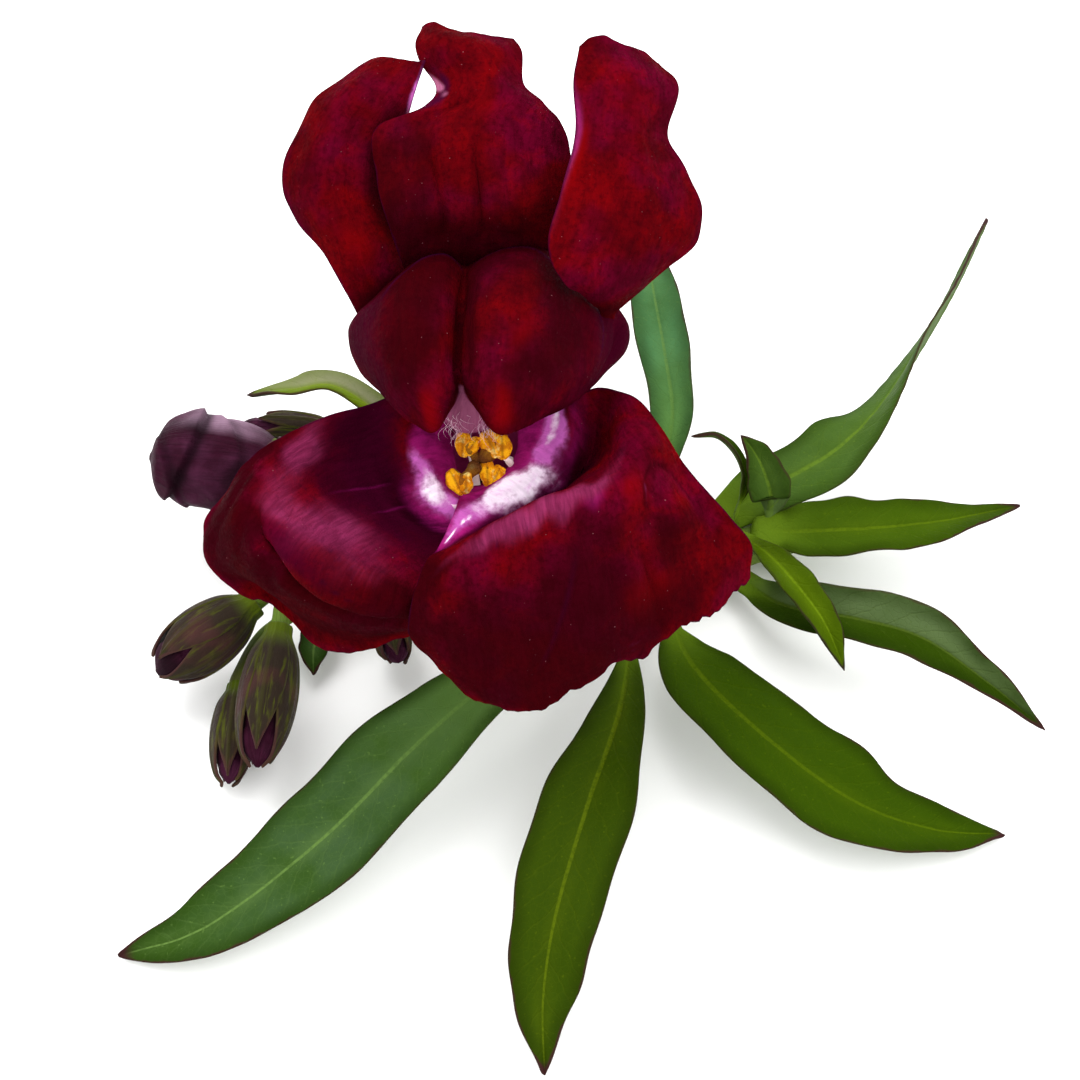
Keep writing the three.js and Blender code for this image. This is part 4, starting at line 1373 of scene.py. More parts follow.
LEAVES = (
    Leaf("leaf_front_left", Green.DARK, ((0.8, -3.1, 2.7), (-5.4, -9.2, 5.4), (-11.5, -15.6, 6.0),
        (-18.0, -22.4, 4.6), (-25.5, -27.5, 2.1), (-31.4, -28.9, 0.6)), 3.6, 0.48, 12, (10, 8, 4, 0, -4, -6), 11),
    Leaf("leaf_front", Green.OLIVE, ((3.2, -2.9, 2.4), (2.0, -12.4, 5.2), (-0.4, -20.6, 5.8), (-2.5, -27.9, 4.4),
        (-3.3, -32.8, 2.2), (-3.2, -37.3, 0.6)), 3.1, 0.46, 18, (0, -4, -6, -4, 0, 0), 12),
    Leaf("leaf_front_right", Green.MID, ((5.5, -2.4, 2.4), (7.2, -8.8, 4.4), (12.1, -14.9, 4.8),
        (17.8, -19.0, 3.6), (23.2, -20.2, 2.0), (28.2, -19.8, 0.6)), 3.55, 0.39, 12, (-10, -8, -4, 0, 0, 0), 13),
    Leaf("leaf_right_low", Green.GREY, ((10.6, 0.5, 2.0), (13.8, -3.2, 3.8), (18.5, -5.2, 5.2), (23.2, -6.6, 4.8),
        (27.7, -9.1, 3.0), (31.8, -11.7, 0.9)), 2.0, 0.42, 34, (10, 14, 16, 16, 10, 0), 14, stalk_share=0.5),
    Leaf("leaf_right", Green.FRESH, ((12.2, 2.9, 4.1), (15.8, 2.5, 4.8), (20.4, 2.5, 5.2), (25.6, 4.0, 4.0),
        (32.1, 7.6, 0.9)), 2.4, 0.42, 14, (0, 0, 0, 4, 6), 15, stalk_share=0.55, stalk_end=0.0),
    Leaf("leaf_back_right", Green.SPRING, ((9.7, 4.7, 3.2), (13.2, 6.9, 4.0), (17.8, 9.2, 5.2), (21.3, 12.5, 6.0),
        (24.8, 18.5, 5.6), (28.5, 26.1, 4.2), (32.3, 35.5, 1.5)), 2.5, 0.36, 12, (0, 0, -4, -45, -70, -76, -76),
        16, stalk_share=0.55, stalk_end=0.0),
    Leaf("leaf_back", Green.BLUE, ((3.2, 0.8, 3.5), (4.9, 6.6, 4.8), (6.2, 11.6, 6.2), (5.8, 16.6, 7.2),
        (5.1, 22.5, 7.4), (4.8, 28.0, 5.8), (4.6, 32.6, 3.6)), 1.9, 0.5, 16, (0, 0, -6, -10, -8, 0, 0), 17),
    Leaf("leaf_small_left", Green.BEIGE, ((-13.2, 0.8, 4.2), (-13.4, 5.2, 6.8), (-14.8, 9.0, 9.4),
        (-18.1, 11.0, 10.8), (-21.3, 11.2, 10.2), (-24.8, 12.0, 8.6)), 1.6, 0.6, 20, (0, 10, 20, 24, 24, 16), 18),
    Leaf("leaf_small_low", Green.DARK, ((-17.8, -2.3, 2.6), (-18.9, -3.7, 2.4), (-19.5, -5.5, 2.0),
        (-19.5, -7.5, 1.4)), 1.2, 0.5, 16, (0, 0, 0, 0), 19, rows=80, columns=25),
    Leaf("leaf_young_upright", Green.SPRING, ((13.1, 4.2, 4.0), (13.1, 4.9, 6.0), (12.2, 6.3, 8.1),
        (10.8, 7.1, 10.2)), 1.5, 0.42, 22, (-20, -20, -20, -20), 20, rows=80, columns=25),
    Leaf("leaf_young_curled", Green.MID, ((10.6, 4.0, 4.6), (11.3, 5.9, 6.4), (10.5, 7.2, 8.0), (9.1, 8.1, 8.8),
        (7.3, 7.9, 9.0)), 0.6, 0.45, 24, (20, 30, 40, 45, 45), 21, rows=80, columns=25),
    Leaf("leaf_young_bright", Green.LIME, ((10.7, 2.6, 4.1), (12.4, -0.3, 6.3), (14.3, -4.0, 7.6),
        (16.1, -6.9, 7.2), (17.5, -9.5, 5.2)), 1.25, 0.52, 26, (0, 0, 0, 0, 0),
        22, stalk_share=0.5, rows=100, columns=31),
)


@dataclass(frozen=True)
class Foliage:
    """All leaves of the shoot."""

    leaves: tuple[Leaf, ...] = LEAVES

    def build(self, stem: Stem) -> None:
        """Makes a piece of each leaf."""
        for leaf in self.leaves:
            leaf.build(stem)


# ---- Open flower ----
# In the flower's own frame the face looks along +Z, the lower lip is at +Y and the upper lip at -Y, and the
# origin is the middle of the mouth.


@dataclass(frozen=True)
class Patch:
    """A soft patch of colour, a bell curve both ways: its tint, its place, its reach and its strength."""

    tint: Tint
    across: float
    along: float
    reach_across: float
    reach_along: float
    strength: float


def patches(**tints: Sequence[Sequence[float]]) -> tuple[Patch, ...]:
    """Patches from rows of their numbers in hundredths, each row under the name of its tint."""
    return tuple(Patch(Tint(name), *(number / 100 for number in row))
                 for name, rows in tints.items() for row in rows)


@dataclass(frozen=True)
class Fold:
    """A ridge, or a crease if its height is below zero, along a smooth line of places on a petal. line: the shares
    across and along by turns, in hundredths. The width and the height are in millimetres. Its tint colours the
    line; on a crease the dark tint is painted shade."""

    line: tuple[float, ...]
    width: float
    height: float
    tint: Tint = Tint.DEEP
    strength: float = 0.0

    @property
    def cover(self) -> float:
        """How much of its tint its line shows: as stated, or as much as its crease is deep, so a deeper crease gets
        more painted shade.
        """
        return self.strength or min(1.0, max(0.0, -1.6 * self.height))


@dataclass(frozen=True)
class Bay:
    """A dent in a petal's margin, or a bulge if its depth is below zero: on which edge, where along it, how
    much of it, and how deep in millimetres."""

    edge: Edge
    place: float
    width: float
    depth: float


def off_edge(edge: Edge, grid: Points, across: Values, along: Values) -> tuple[Points, Values, Values]:
    """How a petal's points lie to one of its edges.

    Args:
        edge: which edge.
        grid: the points.
        across: the share across of each column.
        along: the share along of each row.

    Returns:
        The unit way out over the edge, and each point's shares along the edge and away from it.
    """
    u, v = across[None, :], along[:, None]
    if edge is Edge.TIP:
        return unit(grid[-1:] - grid[-4:-3]), u, 1.0 - v
    if edge is Edge.LEFT:
        return unit(grid[:, :1] - grid[:, 3:4]), v, u
    return unit(grid[:, -1:] - grid[:, -4:-3]), v, 1.0 - u


@dataclass(frozen=True)
class Petal:
    """One lobe of the corolla, or the palate. rows: control rows from the base outwards, each from left to
    right. lead: rows before the first, where it grows out of the throat. Places on it are shares across and
    along from the first to the last of the control rows, so the lead's are below zero. tail: rows after the
    last, where the palate turns down into the throat. skirt: where the walls at its two sides run down, the x
    and y they stand round and their depth."""

    name: str
    rows: Rows
    lead: Rows
    seed: int
    turned: bool = False
    tail: Rows = ()
    swell: float = 0.12
    ruffle: float = 0.16
    frill: float = 0.08
    thickness: float = 0.36
    bays: tuple[Bay, ...] = ()
    folds: tuple[Fold, ...] = ()
    patches: tuple[Patch, ...] = ()
    across_count: int = 110
    along_count: int = 130
    skirt: Place | None = None
    skirt_reach: float = 4.6
    # How strong the painted glow is on the lead rows down in the shaded throat.
    painted_glow_strength: float = 0.0

    def controls(self) -> tuple[Points, int, int]:
        """All control points.

        Returns:
            The rows as an array, and the counts of lead rows and of skirt columns before the first.
        """
        rows = np.array((*self.lead, *self.rows, *self.tail), float)
        if self.skirt is None:
            return rows, len(self.lead), 0
        centre = np.array((*self.skirt[:2], 0.0))
        columns = [rows]
        for edge, before in ((rows[:, :1], True), (rows[:, -1:], False)):
            away = edge - centre
            away[..., 2] = 0.0
            wall = centre + self.skirt_reach * unit(away)
            wall[..., 2] = self.skirt[2]
            half_way = 0.6 * edge + 0.4 * wall + 0.5 * unit(away) - 0.5 * UP
            columns = [wall, half_way, *columns] if before else [*columns, half_way, wall]
        return np.concatenate(columns, axis=1), len(self.lead), 2

    def places(self) -> tuple[Values, Values]:
        """Where the grid's points lie.

        Returns:
            The share across of each column and the share along of each row.
        """
        rows, lead, before = self.controls()
        across = eased(self.across_count) * (rows.shape[1] - 1) - before
        along = eased(self.along_count) * (len(rows) - 1) - lead
        return across / (len(self.rows[0]) - 1), along / (len(self.rows) - 1)

    def sheet(self, across: Values, along: Values) -> Points:
        """The smooth sheet through the control rows.

        Args:
            across: shares across.
            along: shares along.

        Returns:
            A point for each pair of them, along by across.
        """
        rows, lead, before = self.controls()
        across_steps = across * (len(self.rows[0]) - 1) + before
        along_steps = along * (len(self.rows) - 1) + lead
        crossed = smooth_at(rows.transpose(1, 0, 2), across_steps).transpose(1, 0, 2)
        return smooth_at(crossed, along_steps)

    def shaped(self) -> tuple[Points, Masks]:
        """The petal's middle surface with its margin, folds and waves, and its masks.

        A bay moves points back along the sheet by depth times a bell curve along the margin and another away
        from it. A fold lifts points by height times a bell curve of their distance from its line. Slow and
        quick waves lift the whole, and near the margins a stronger wave ruffles it.

        Returns:
            The grid and the masks, all in the flower's frame.
        """
        across, along = self.places()
        grid = self.indented(self.sheet(across, along), across, along)
        normals = sheet_normals(grid) * (-1.0 if self.turned else 1.0)
        masks = sheet_lengths(grid)
        margin = np.full(grid.shape[:2], NO_MARGIN) if self.tail else masks["margin_mm"]
        rows_along = ringed(along, self.across_count)
        free = ease(rows_along, -0.02, 0.12)
        masks["margin_mm"] = np.where(free > 0.5, margin, NO_MARGIN)
        # Painted glow on the lead rows, which run down into the throat's shade.
        masks["glow"] = ease(-rows_along, 0.03, 0.14) * self.painted_glow_strength
        lift = self.swell * waves(grid, 5.0, self.seed) + 0.04 * waves(grid, 1.6, self.seed + 1)
        lift = lift + self.ruffle * np.exp(-margin / 1.3) * waves(grid, 3.2, self.seed + 2) * free
        tints = self.tints(across, along, grid)
        for fold in self.folds:
            distance, fade = self.fold_distance(fold, grid)
            lift = lift + fold.height * bell(distance, fold.width) * fade
            # Each fold paints its tint along its line; a crease's dark tint is painted shade in the crease.
            line = fold.cover * bell(distance, 0.7 * fold.width) * fade
            tints[fold.tint.value] = np.maximum(tints[fold.tint.value], line)
        return grid + normals * lift[..., None], masks | tints

    def indented(self, grid: Points, across: Values, along: Values) -> Points:
        """The grid with the bays pressed into its margins, and a fine frill along its tip.

        Args:
            grid: the smooth sheet.
            across: the share across of each column.
            along: the share along of each row.

        Returns:
            The grid.
        """
        for bay in self.bays:
            out, run, off = off_edge(bay.edge, grid, across, along)
            near = bell(run - bay.place, bay.width) * bell(off, 0.16)
            grid = grid - out * (bay.depth * near)[..., None]
        tip, _, off = off_edge(Edge.TIP, grid, across, along)
        jag = waves(grid[-1:], 2.4, self.seed + 3, 3) + waves(grid[-1:], 0.9, self.seed + 4)
        return grid + tip * (self.frill * jag * bell(off, 0.05))[..., None]

    def fold_distance(self, fold: Fold, grid: Points) -> tuple[Values, Values]:
        """How the grid's points lie to a fold.

        Args:
            fold: the fold.
            grid: the points.

        Returns:
            Each point's distance from the fold's line, and how much of the fold is left there, as a half
            circle over the line's length.
        """
        line = smooth(np.array(fold.line).reshape(-1, 2) / 100.0, 60)
        path = np.stack([self.sheet(at[:1], at[1:])[0, 0] for at in line])
        gaps = np.linalg.norm(grid[:, :, None] - path, axis=-1)
        nearest = gaps.argmin(axis=-1) / (len(path) - 1)
        return gaps.min(axis=-1), np.sqrt(np.clip(4.0 * nearest * (1.0 - nearest), 0.0, 1.0))

    def tints(self, across: Values, along: Values, grid: Points) -> Masks:
        """The sum of the patches of each tint, with their places bent a little by slow waves.

        Args:
            across: the share across of each column.
            along: the share along of each row.
            grid: the points.

        Returns:
            A mask for each tint.
        """
        bent_across = across[None, :] + 0.03 * waves(grid, 3.0, self.seed + 7)
        bent_along = along[:, None] + 0.025 * waves(grid, 2.4, self.seed + 8)
        masks = {tint.value: np.zeros(grid.shape[:2]) for tint in Tint}
        for patch in self.patches:
            masks[patch.tint.value] += (
                patch.strength * bell(bent_across - patch.across, patch.reach_across)
                * bell(bent_along - patch.along, patch.reach_along))
        return {name: np.clip(value, 0.0, 1.0) for name, value in masks.items()}

    def shell(self) -> Shell:
        """The petal's body in the shoot's frame, thinner towards its margins.

        Returns:
            The body.
        """
        grid, masks = self.shaped()
        lengths = sheet_lengths(grid)
        edge = np.minimum(lengths["margin_mm"], lengths["along_mm"])
        half = 0.5 * self.thickness * feather(edge, 0.12) * (0.45 + 0.55 * ease(edge, 0.0, 2.5))
        return sheet_shell(from_flower(grid), half, masks, self.turned)


UPPER_LEFT = Petal(
    "petal_upper_left", seed=31, turned=True, swell=0.14, ruffle=0.2, painted_glow_strength=0.4,
    rows=(
        ((-5.7, 3.9, -1.1), (-5.4, 1.2, -0.9), (-4.9, -1.3, -0.6), (-3.9, -3.3, -0.2), (-1.8, -4.7, -0.5)),
        ((-7.4, 3.3, -1.4), (-7.8, 0.6, -2.8), (-7.2, -2.0, -3.0), (-5.6, -4.0, -2.0), (-1.8, -5.8, -1.0)),
        ((-10.2, 2.5, -0.8), (-11.0, -0.6, -0.6), (-10.2, -3.2, 0.2), (-7.2, -5.4, 1.2), (-2.4, -7.0, 0.4)),
        ((-13.2, 1.0, 0.2), (-13.9, -2.0, 2.2), (-12.3, -5.0, 3.6), (-8.8, -7.6, 4.4), (-3.8, -8.6, 2.6)),
        ((-15.2, -0.6, 0.4), (-15.6, -3.8, 2.4), (-13.2, -7.0, 3.6), (-9.0, -9.7, 3.8), (-4.0, -10.0, 2.4)),
        ((-16.7, -2.4, -0.8), (-17.2, -5.2, -0.4), (-14.2, -8.3, 0.4), (-9.4, -10.7, 0.8), (-4.2, -11.0, 0.6)),
        ((-18.1, -4.0, -1.8), (-17.8, -7.0, -2.6), (-13.6, -9.4, -3.0), (-9.6, -11.6, -2.4), (-4.6, -11.6, -1.4)),
        ((-18.3, -5.2, -2.2), (-16.8, -8.6, -3.4), (-12.8, -11.4, -3.8), (-9.4, -13.0, -3.6), (-4.8, -11.9, -2.2)),
    ),
    lead=(
        ((-2.2, 2.6, -5.0), (-2.1, 1.0, -5.0), (-1.9, -0.3, -5.0), (-1.6, -1.4, -5.0), (-1.3, -2.0, -5.0)),
        ((-2.9, 2.9, -3.2), (-2.6, 1.0, -3.2), (-2.3, -0.6, -3.1), (-1.9, -1.8, -2.9), (-1.3, -2.5, -2.7)),
        ((-4.5, 3.6, -1.6), (-4.2, 1.2, -1.0), (-3.7, -0.8, -0.8), (-2.8, -2.1, -0.8), (-1.4, -3.1, -1.0)),
    ),
    bays=(Bay(Edge.TIP, 0.46, 0.1, 1.5), Bay(Edge.TIP, 0.12, 0.08, -0.3)),
    folds=(
        Fold((46, 40, 58, 43, 69, 43, 82, 46, 92, 50), 1.3, 0.5),
        Fold((42, 52, 49, 54, 58, 58, 70, 60, 82, 62, 97, 68), 0.5, -0.9, Tint.DEEP, 0.7),
        Fold((30, 44, 38, 50, 47, 57, 55, 68), 0.6, -0.6), Fold((18, 42, 28, 52, 38, 66), 0.4, -0.3),
        Fold((8, 50, 20, 62, 30, 80), 0.5, -0.22), Fold((12, 29, 17, 31, 24, 30), 0.3, 0.22, Tint.DUSTY, 1.0),
        Fold((16, 42, 22, 46, 26, 52), 0.35, 0.18), Fold((55, 36, 66, 39, 78, 43), 0.14, -0.1, Tint.PLUM, 0.8),
        Fold((60, 45, 72, 49, 84, 53), 0.14, -0.1, Tint.PLUM, 0.8),
        Fold((52, 32, 60, 40, 66, 50), 0.12, -0.07, Tint.PLUM, 0.6),
        Fold((68, 30, 76, 38, 80, 50), 0.12, -0.07, Tint.PLUM, 0.6),
        Fold((33, 10, 30, 20, 24, 32), 0.25, -0.08, Tint.PLUM, 0.5),
        Fold((52, 6, 50, 16, 45, 28), 0.25, -0.08, Tint.MAGENTA, 0.35),
        Fold((70, 4, 70, 12, 66, 22), 0.25, -0.08, Tint.MAGENTA, 0.4),
    ),
    # Dusty patches carry painted sheen on the ridge; deep patches are partly painted shade under the roll and at
    # the edges.
    patches=patches(
        plum=((50, 14, 120, 18, 100), (58, 48, 16, 5, 65)),
        dusty=((15, 32, 12, 5, 115), (25, 42, 9, 6, 25), (39, 40, 12, 6, 55), (52, 40, 10, 6, 36),
            (64, 32, 13, 7, 88), (80, 42, 14, 7, 38)),
        magenta=((95, 3, 12, 6, 90), (40, -28, 100, 13, 130), (30, -13, 20, 5, 60), (75, 0, 25, 6, 60)),
        lilac=((48, -9, 11, 4.5, 75), (93, -9, 10, 5.5, 110), (72, -9, 25, 7, 70)),
        pale=((72, -9.5, 20, 4.5, 78),),
        deep=((75, 80, 38, 16, 100), (62, 62, 16, 5, 90), (88, 60, 14, 8, 100), (93, 50, 8, 8, 100),
            (76, 46, 16, 8, 55), (16, 56, 10, 6, 70), (12, 66, 28, 16, 90), (35, 51, 8, 5, 65),
            (32, 72, 16, 14, 80), (45, 24, 20, 5, 40), (2, 45, 7, 12, 80)),
    ),
)

UPPER_RIGHT = Petal(
    "petal_upper_right", seed=41, turned=True, swell=0.14, ruffle=0.2, frill=0.17, painted_glow_strength=1.0,
    rows=(
        ((-2.0, -4.4, 0.9), (0.6, -3.4, 0.6), (3.0, -2.3, 0.3), (4.7, -0.9, 0.0), (5.6, 1.2, -0.3),
            (5.8, 3.7, -0.9)),
        ((-2.8, -6.0, 2.4), (0.2, -4.9, 1.4), (3.2, -3.9, 0.0), (6.0, -1.9, -1.8), (7.4, 0.6, -2.4),
            (7.6, 4.4, -1.4)),
        ((-3.4, -7.2, 4.6), (-0.6, -5.4, 5.6), (2.4, -3.8, 6.2), (5.6, -2.5, 5.9), (8.4, -1.0, 4.2),
            (9.8, 3.6, 0.6)),
        ((-4.2, -8.8, 4.4), (-1.2, -7.4, 5.8), (2.4, -6.2, 6.6), (6.2, -4.6, 6.7), (9.6, -2.2, 5.4),
            (11.3, 1.9, 2.0)),
        ((-4.6, -10.6, 3.0), (-1.4, -10.2, 4.8), (2.6, -9.6, 5.6), (7.0, -8.2, 5.7), (11.2, -5.0, 4.0),
            (13.4, -1.1, 1.8)),
        ((-4.5, -11.7, 1.6), (-1.4, -12.4, 3.4), (2.9, -12.4, 4.2), (7.6, -11.0, 4.4), (12.6, -7.4, 2.6),
            (15.8, -4.0, 0.9)),
        ((-3.5, -12.9, 0.6), (-1.0, -14.4, 1.8), (3.1, -14.6, 2.4), (8.0, -12.8, 2.6), (13.6, -9.2, 1.4),
            (17.3, -5.7, -0.2)),
        ((-2.9, -13.8, 0.0), (-0.2, -15.9, 0.4), (3.6, -16.4, 0.8), (8.4, -13.8, 1.2), (14.0, -10.6, 0.8),
            (17.4, -7.6, -0.8)),
    ),
    lead=(
        ((-1.2, -2.0, -5.0), (0.0, -1.8, -5.0), (1.1, -1.1, -5.0), (1.8, -0.2, -5.0), (2.2, 1.0, -5.0),
            (2.4, 2.7, -5.0)),
        ((-1.3, -2.5, -2.4), (0.1, -2.1, -2.7), (1.4, -1.2, -2.9), (2.2, -0.3, -3.1), (2.7, 1.0, -3.2),
            (3.0, 2.9, -3.2)),
        ((-1.6, -3.1, -0.4), (0.2, -2.5, -0.6), (1.9, -1.4, -0.8), (3.3, -0.2, -0.9), (4.2, 1.2, -1.1),
            (4.5, 3.4, -1.5)),
    ),
    bays=(
        Bay(Edge.TIP, 0.12, 0.06, -0.25), Bay(Edge.TIP, 0.6, 0.04, 0.35), Bay(Edge.TIP, 0.66, 0.03, -0.35),
        Bay(Edge.TIP, 0.76, 0.03, 0.55), Bay(Edge.TIP, 0.86, 0.05, -0.45), Bay(Edge.TIP, 0.97, 0.04, -0.3),
    ),
    folds=(
        Fold((57, 50, 50, 64, 41, 84), 0.5, -0.35), Fold((58, 46, 51, 62, 42, 82), 0.5, 0.0, Tint.VEIN, 0.35),
        Fold((74, 54, 73, 71, 72, 90), 0.45, -0.5), Fold((64, 40, 64, 52, 66, 66), 0.7, -0.25),
        Fold((22, 42, 26, 62, 30, 86), 0.8, -0.3), Fold((12, 44, 14, 60, 18, 80), 0.4, -0.14),
        Fold((36, 44, 38, 60, 40, 74), 0.4, -0.16), Fold((68, 46, 69, 60, 68, 76), 0.5, 0.22),
        Fold((85, 51, 87, 58, 86, 66), 1.1, 0.55),
        Fold((79, 56, 80, 48, 85, 44, 91, 47, 94, 58, 91, 68), 0.35, -0.18, Tint.DEEP, 0.7),
        Fold((79, 50, 83, 45, 88, 45), 0.1, 0.05, Tint.DUSTY, 0.8), Fold((97, 52, 96, 64, 93, 76), 0.5, -0.25),
        Fold((5, 40, 15, 35.5, 30, 33.5, 45, 32.5, 60, 32), 0.25, 0.12, Tint.DUSTY, 0.5),
        Fold((30, 32, 32, 36, 33, 41), 0.12, -0.06, Tint.PLUM, 0.8),
        Fold((40, 31, 43, 36, 44, 42), 0.12, -0.06, Tint.PLUM, 0.8),
        Fold((52, 31, 54, 35, 55, 40), 0.12, -0.06, Tint.PLUM, 0.8),
        Fold((66, 93, 64.5, 90, 65.5, 86, 67, 89), 0.12, 0.08, Tint.DUSTY, 0.8),
    ),
    # Dusty patches carry painted sheen on the ridge, bright ones are partly painted highlights, and deep ones
    # partly painted shade.
    patches=patches(
        plum=((35, 12, 45, 18, 90),),
        dusty=((16, 37, 9, 4, 12), (30, 34.5, 9, 4.5, 70), (43, 33.5, 9, 5, 80), (56, 33, 9, 5, 75),
            (68, 32, 7, 4, 70), (82, 30, 8, 3, 30)),
        magenta=((66, 36, 6, 4, 40), (5, 10, 10, 9, 110), (10, 0, 10, 8, 100), (60, 3, 50, 5, 45),
            (50, -28, 100, 14, 130), (70, -15, 40, 6, 90)),
        lilac=((6, 5, 4.5, 7, 90), (64, -10, 7, 5, 120), (78, -8.5, 11, 5.5, 130), (92, -11, 12, 5.5, 130),
            (34, -5, 24, 10, 90), (12, -2, 8, 6, 80)),
        pale=((34, -5.5, 20, 8.5, 140), (7, 6.5, 1.3, 1.8, 100), (4, 10, 1, 1.4, 90), (10, 3, 1.4, 1.6, 90),
            (80, -10, 7, 3, 50), (92, -11, 6, 3, 60)),
        bright=((80, 41, 6, 6, 60), (72, 71, 6, 11, 80), (30, 43, 10, 4, 25), (90, 56, 3, 6, 40)),
        deep=((40, 70, 26, 20, 105), (46, 90, 35, 14, 100), (82, 60, 6, 8, 90), (78, 78, 12, 12, 40),
            (60, 58, 10, 18, 80), (2, 50, 8, 30, 110), (20, 60, 14, 14, 35), (12, 37, 8, 3, 40)),
    ),
)

LOWER_LEFT = Petal(
    "petal_lower_left", seed=51, ruffle=0.22,
    rows=(
        ((-8.2, 9.2, -1.4), (-7.2, 10.0, -1.4), (-6.0, 10.8, -1.9), (-4.6, 11.4, -2.7)),
        ((-10.2, 13.2, -0.8), (-8.7, 13.6, 0.4), (-7.0, 13.8, -0.2), (-4.9, 14.2, -2.2)),
        ((-12.8, 17.2, -1.4), (-10.4, 17.0, 0.6), (-8.0, 16.9, 0.0), (-5.2, 17.0, -1.8)),
        ((-12.0, 21.2, -1.8), (-9.9, 20.7, 0.4), (-7.8, 20.5, 0.2), (-5.2, 20.4, -1.4)),
        ((-10.1, 23.9, -1.8), (-8.4, 23.4, 0.0), (-6.6, 22.9, 0.0), (-4.6, 22.6, -0.4)),
        ((-7.4, 25.8, -2.4), (-6.2, 25.7, -1.6), (-5.0, 25.4, -0.6), (-3.9, 24.8, 0.6)),
    ),
    lead=(
        ((-5.2, 5.0, -2.4), (-4.6, 5.9, -2.7), (-3.9, 6.7, -2.9), (-3.1, 7.3, -3.0)),
        ((-7.0, 7.0, -2.6), (-6.2, 7.6, -2.8), (-5.4, 8.2, -3.0), (-4.6, 8.8, -3.2)),
    ),
    bays=(
        Bay(Edge.LEFT, 0.28, 0.12, -0.7), Bay(Edge.TIP, 0.3, 0.5, -0.35), Bay(Edge.TIP, 1.0, 0.2, -0.5),
        Bay(Edge.LEFT, 0.75, 0.2, -0.3),
    ),
    folds=(
        Fold((45, 10, 42, 45, 50, 80), 1.0, -0.22), Fold((75, 25, 72, 55, 80, 85), 0.7, 0.2),
        Fold((62, 30, 58, 50, 62, 72), 0.4, -0.12),
    ),
    # Bright patches are partly painted highlights and deep ones partly painted shade, as where the lobe meets the
    # tube.
    patches=patches(
        bright=((45, 20, 20, 10, 55), (22, 62, 18, 18, 15)),
        deep=((95, 35, 15, 30, 80), (50, 0, 80, 6, 90), (40, 50, 60, 50, 30), (80, 55, 12, 25, 35)),
        lilac=((100, 86, 5, 10, 100),),
        mauve=((100, 76, 5, 12, 90),),
        vein=((100, 66, 9, 25, 80), (0, 30, 5, 50, 40)),
    ),
)

LOWER_MIDDLE = Petal(
    "petal_lower_middle", seed=61, ruffle=0.22,
    rows=(
        ((-5.0, 11.6, -2.0), (-3.2, 11.9, -1.8), (-0.8, 11.7, -2.3), (1.8, 12.0, -1.8), (4.2, 11.9, -1.8)),
        ((-5.6, 13.4, 0.1), (-3.6, 13.8, 0.3), (-0.8, 13.6, -0.2), (2.0, 14.0, 0.3), (4.5, 13.9, 0.0)),
        ((-6.3, 15.6, 1.4), (-3.8, 15.6, 2.4), (-0.8, 15.7, 2.0), (2.1, 15.8, 2.4), (4.9, 15.9, 1.2)),
        ((-7.0, 18.9, 1.2), (-4.1, 19.0, 2.2), (-1.2, 18.8, 2.6), (2.1, 18.8, 2.4), (5.7, 18.4, 0.8)),
        ((-6.7, 21.1, 0.9), (-3.9, 21.4, 1.2), (-1.1, 21.4, 2.2), (1.8, 21.3, 2.2), (5.2, 21.2, 0.4)),
        ((-3.6, 22.2, 0.6), (-1.9, 22.5, 1.6), (-0.1, 22.6, 2.0), (2.0, 22.6, 1.8), (3.9, 22.6, 0.2)),
        ((-3.0, 23.8, 0.2), (-1.5, 23.9, 1.2), (0.1, 24.0, 1.5), (1.4, 23.8, 1.2), (2.6, 23.7, 0.0)),
        ((-4.2, 26.2, -0.6), (-2.8, 26.3, 0.6), (-1.2, 26.2, 0.8), (0.6, 25.9, 0.4), (2.6, 26.0, -0.6)),
        ((-4.0, 27.6, -1.6), (-3.0, 27.9, -1.0), (-1.6, 27.5, -0.8), (0.1, 27.4, -1.0), (2.0, 27.1, -1.6)),
    ),
    lead=(
        ((-3.4, 7.3, -3.0), (-2.0, 7.6, -3.1), (-0.3, 7.8, -3.2), (1.2, 7.7, -3.1), (2.8, 7.4, -3.0)),
        ((-4.4, 9.6, -3.0), (-2.6, 9.8, -3.2), (-0.6, 9.9, -3.4), (1.6, 9.8, -3.2), (3.6, 9.6, -3.0)),
    ),
    bays=(Bay(Edge.TIP, 0.0, 0.35, -0.45), Bay(Edge.LEFT, 0.8, 0.05, -0.3)),
    folds=(
        Fold((34, 44, 32, 38, 35, 30, 37, 22, 36, 14), 0.35, -0.45, Tint.DEEP, 0.8),
        Fold((57, 44, 56, 33, 56, 22, 58, 14), 0.3, -0.38, Tint.DEEP, 0.7),
        Fold((46, 48, 45, 34, 46, 20), 0.8, 0.26), Fold((12, 30, 30, 52, 42, 66), 0.5, -0.28),
        Fold((88, 28, 74, 50, 62, 66), 0.6, -0.28), Fold((72, 44, 70, 32, 71, 20), 0.3, -0.18),
        Fold((20, 16, 22, 26, 20, 36), 0.5, -0.2),
    ),
    # Bright patches are partly painted highlights and deep ones partly painted shade, as where the lobe meets the
    # tube.
    patches=patches(
        bright=((60, 58, 20, 10, 40), (46, 30, 6, 12, 20)),
        deep=((50, 0, 90, 7, 120), (5, 30, 14, 30, 50), (50, 16, 60, 10, 70), (50, 35, 80, 30, 28),
            (26, 40, 10, 20, 40)),
        mauve=((0, 77, 4.5, 3.5, 100), (2, 71.5, 5, 3, 90), (9, 66.5, 5, 2, 60)),
        vein=((6, 66, 7, 9, 90), (10, 76, 5, 5, 60)),
    ),
)

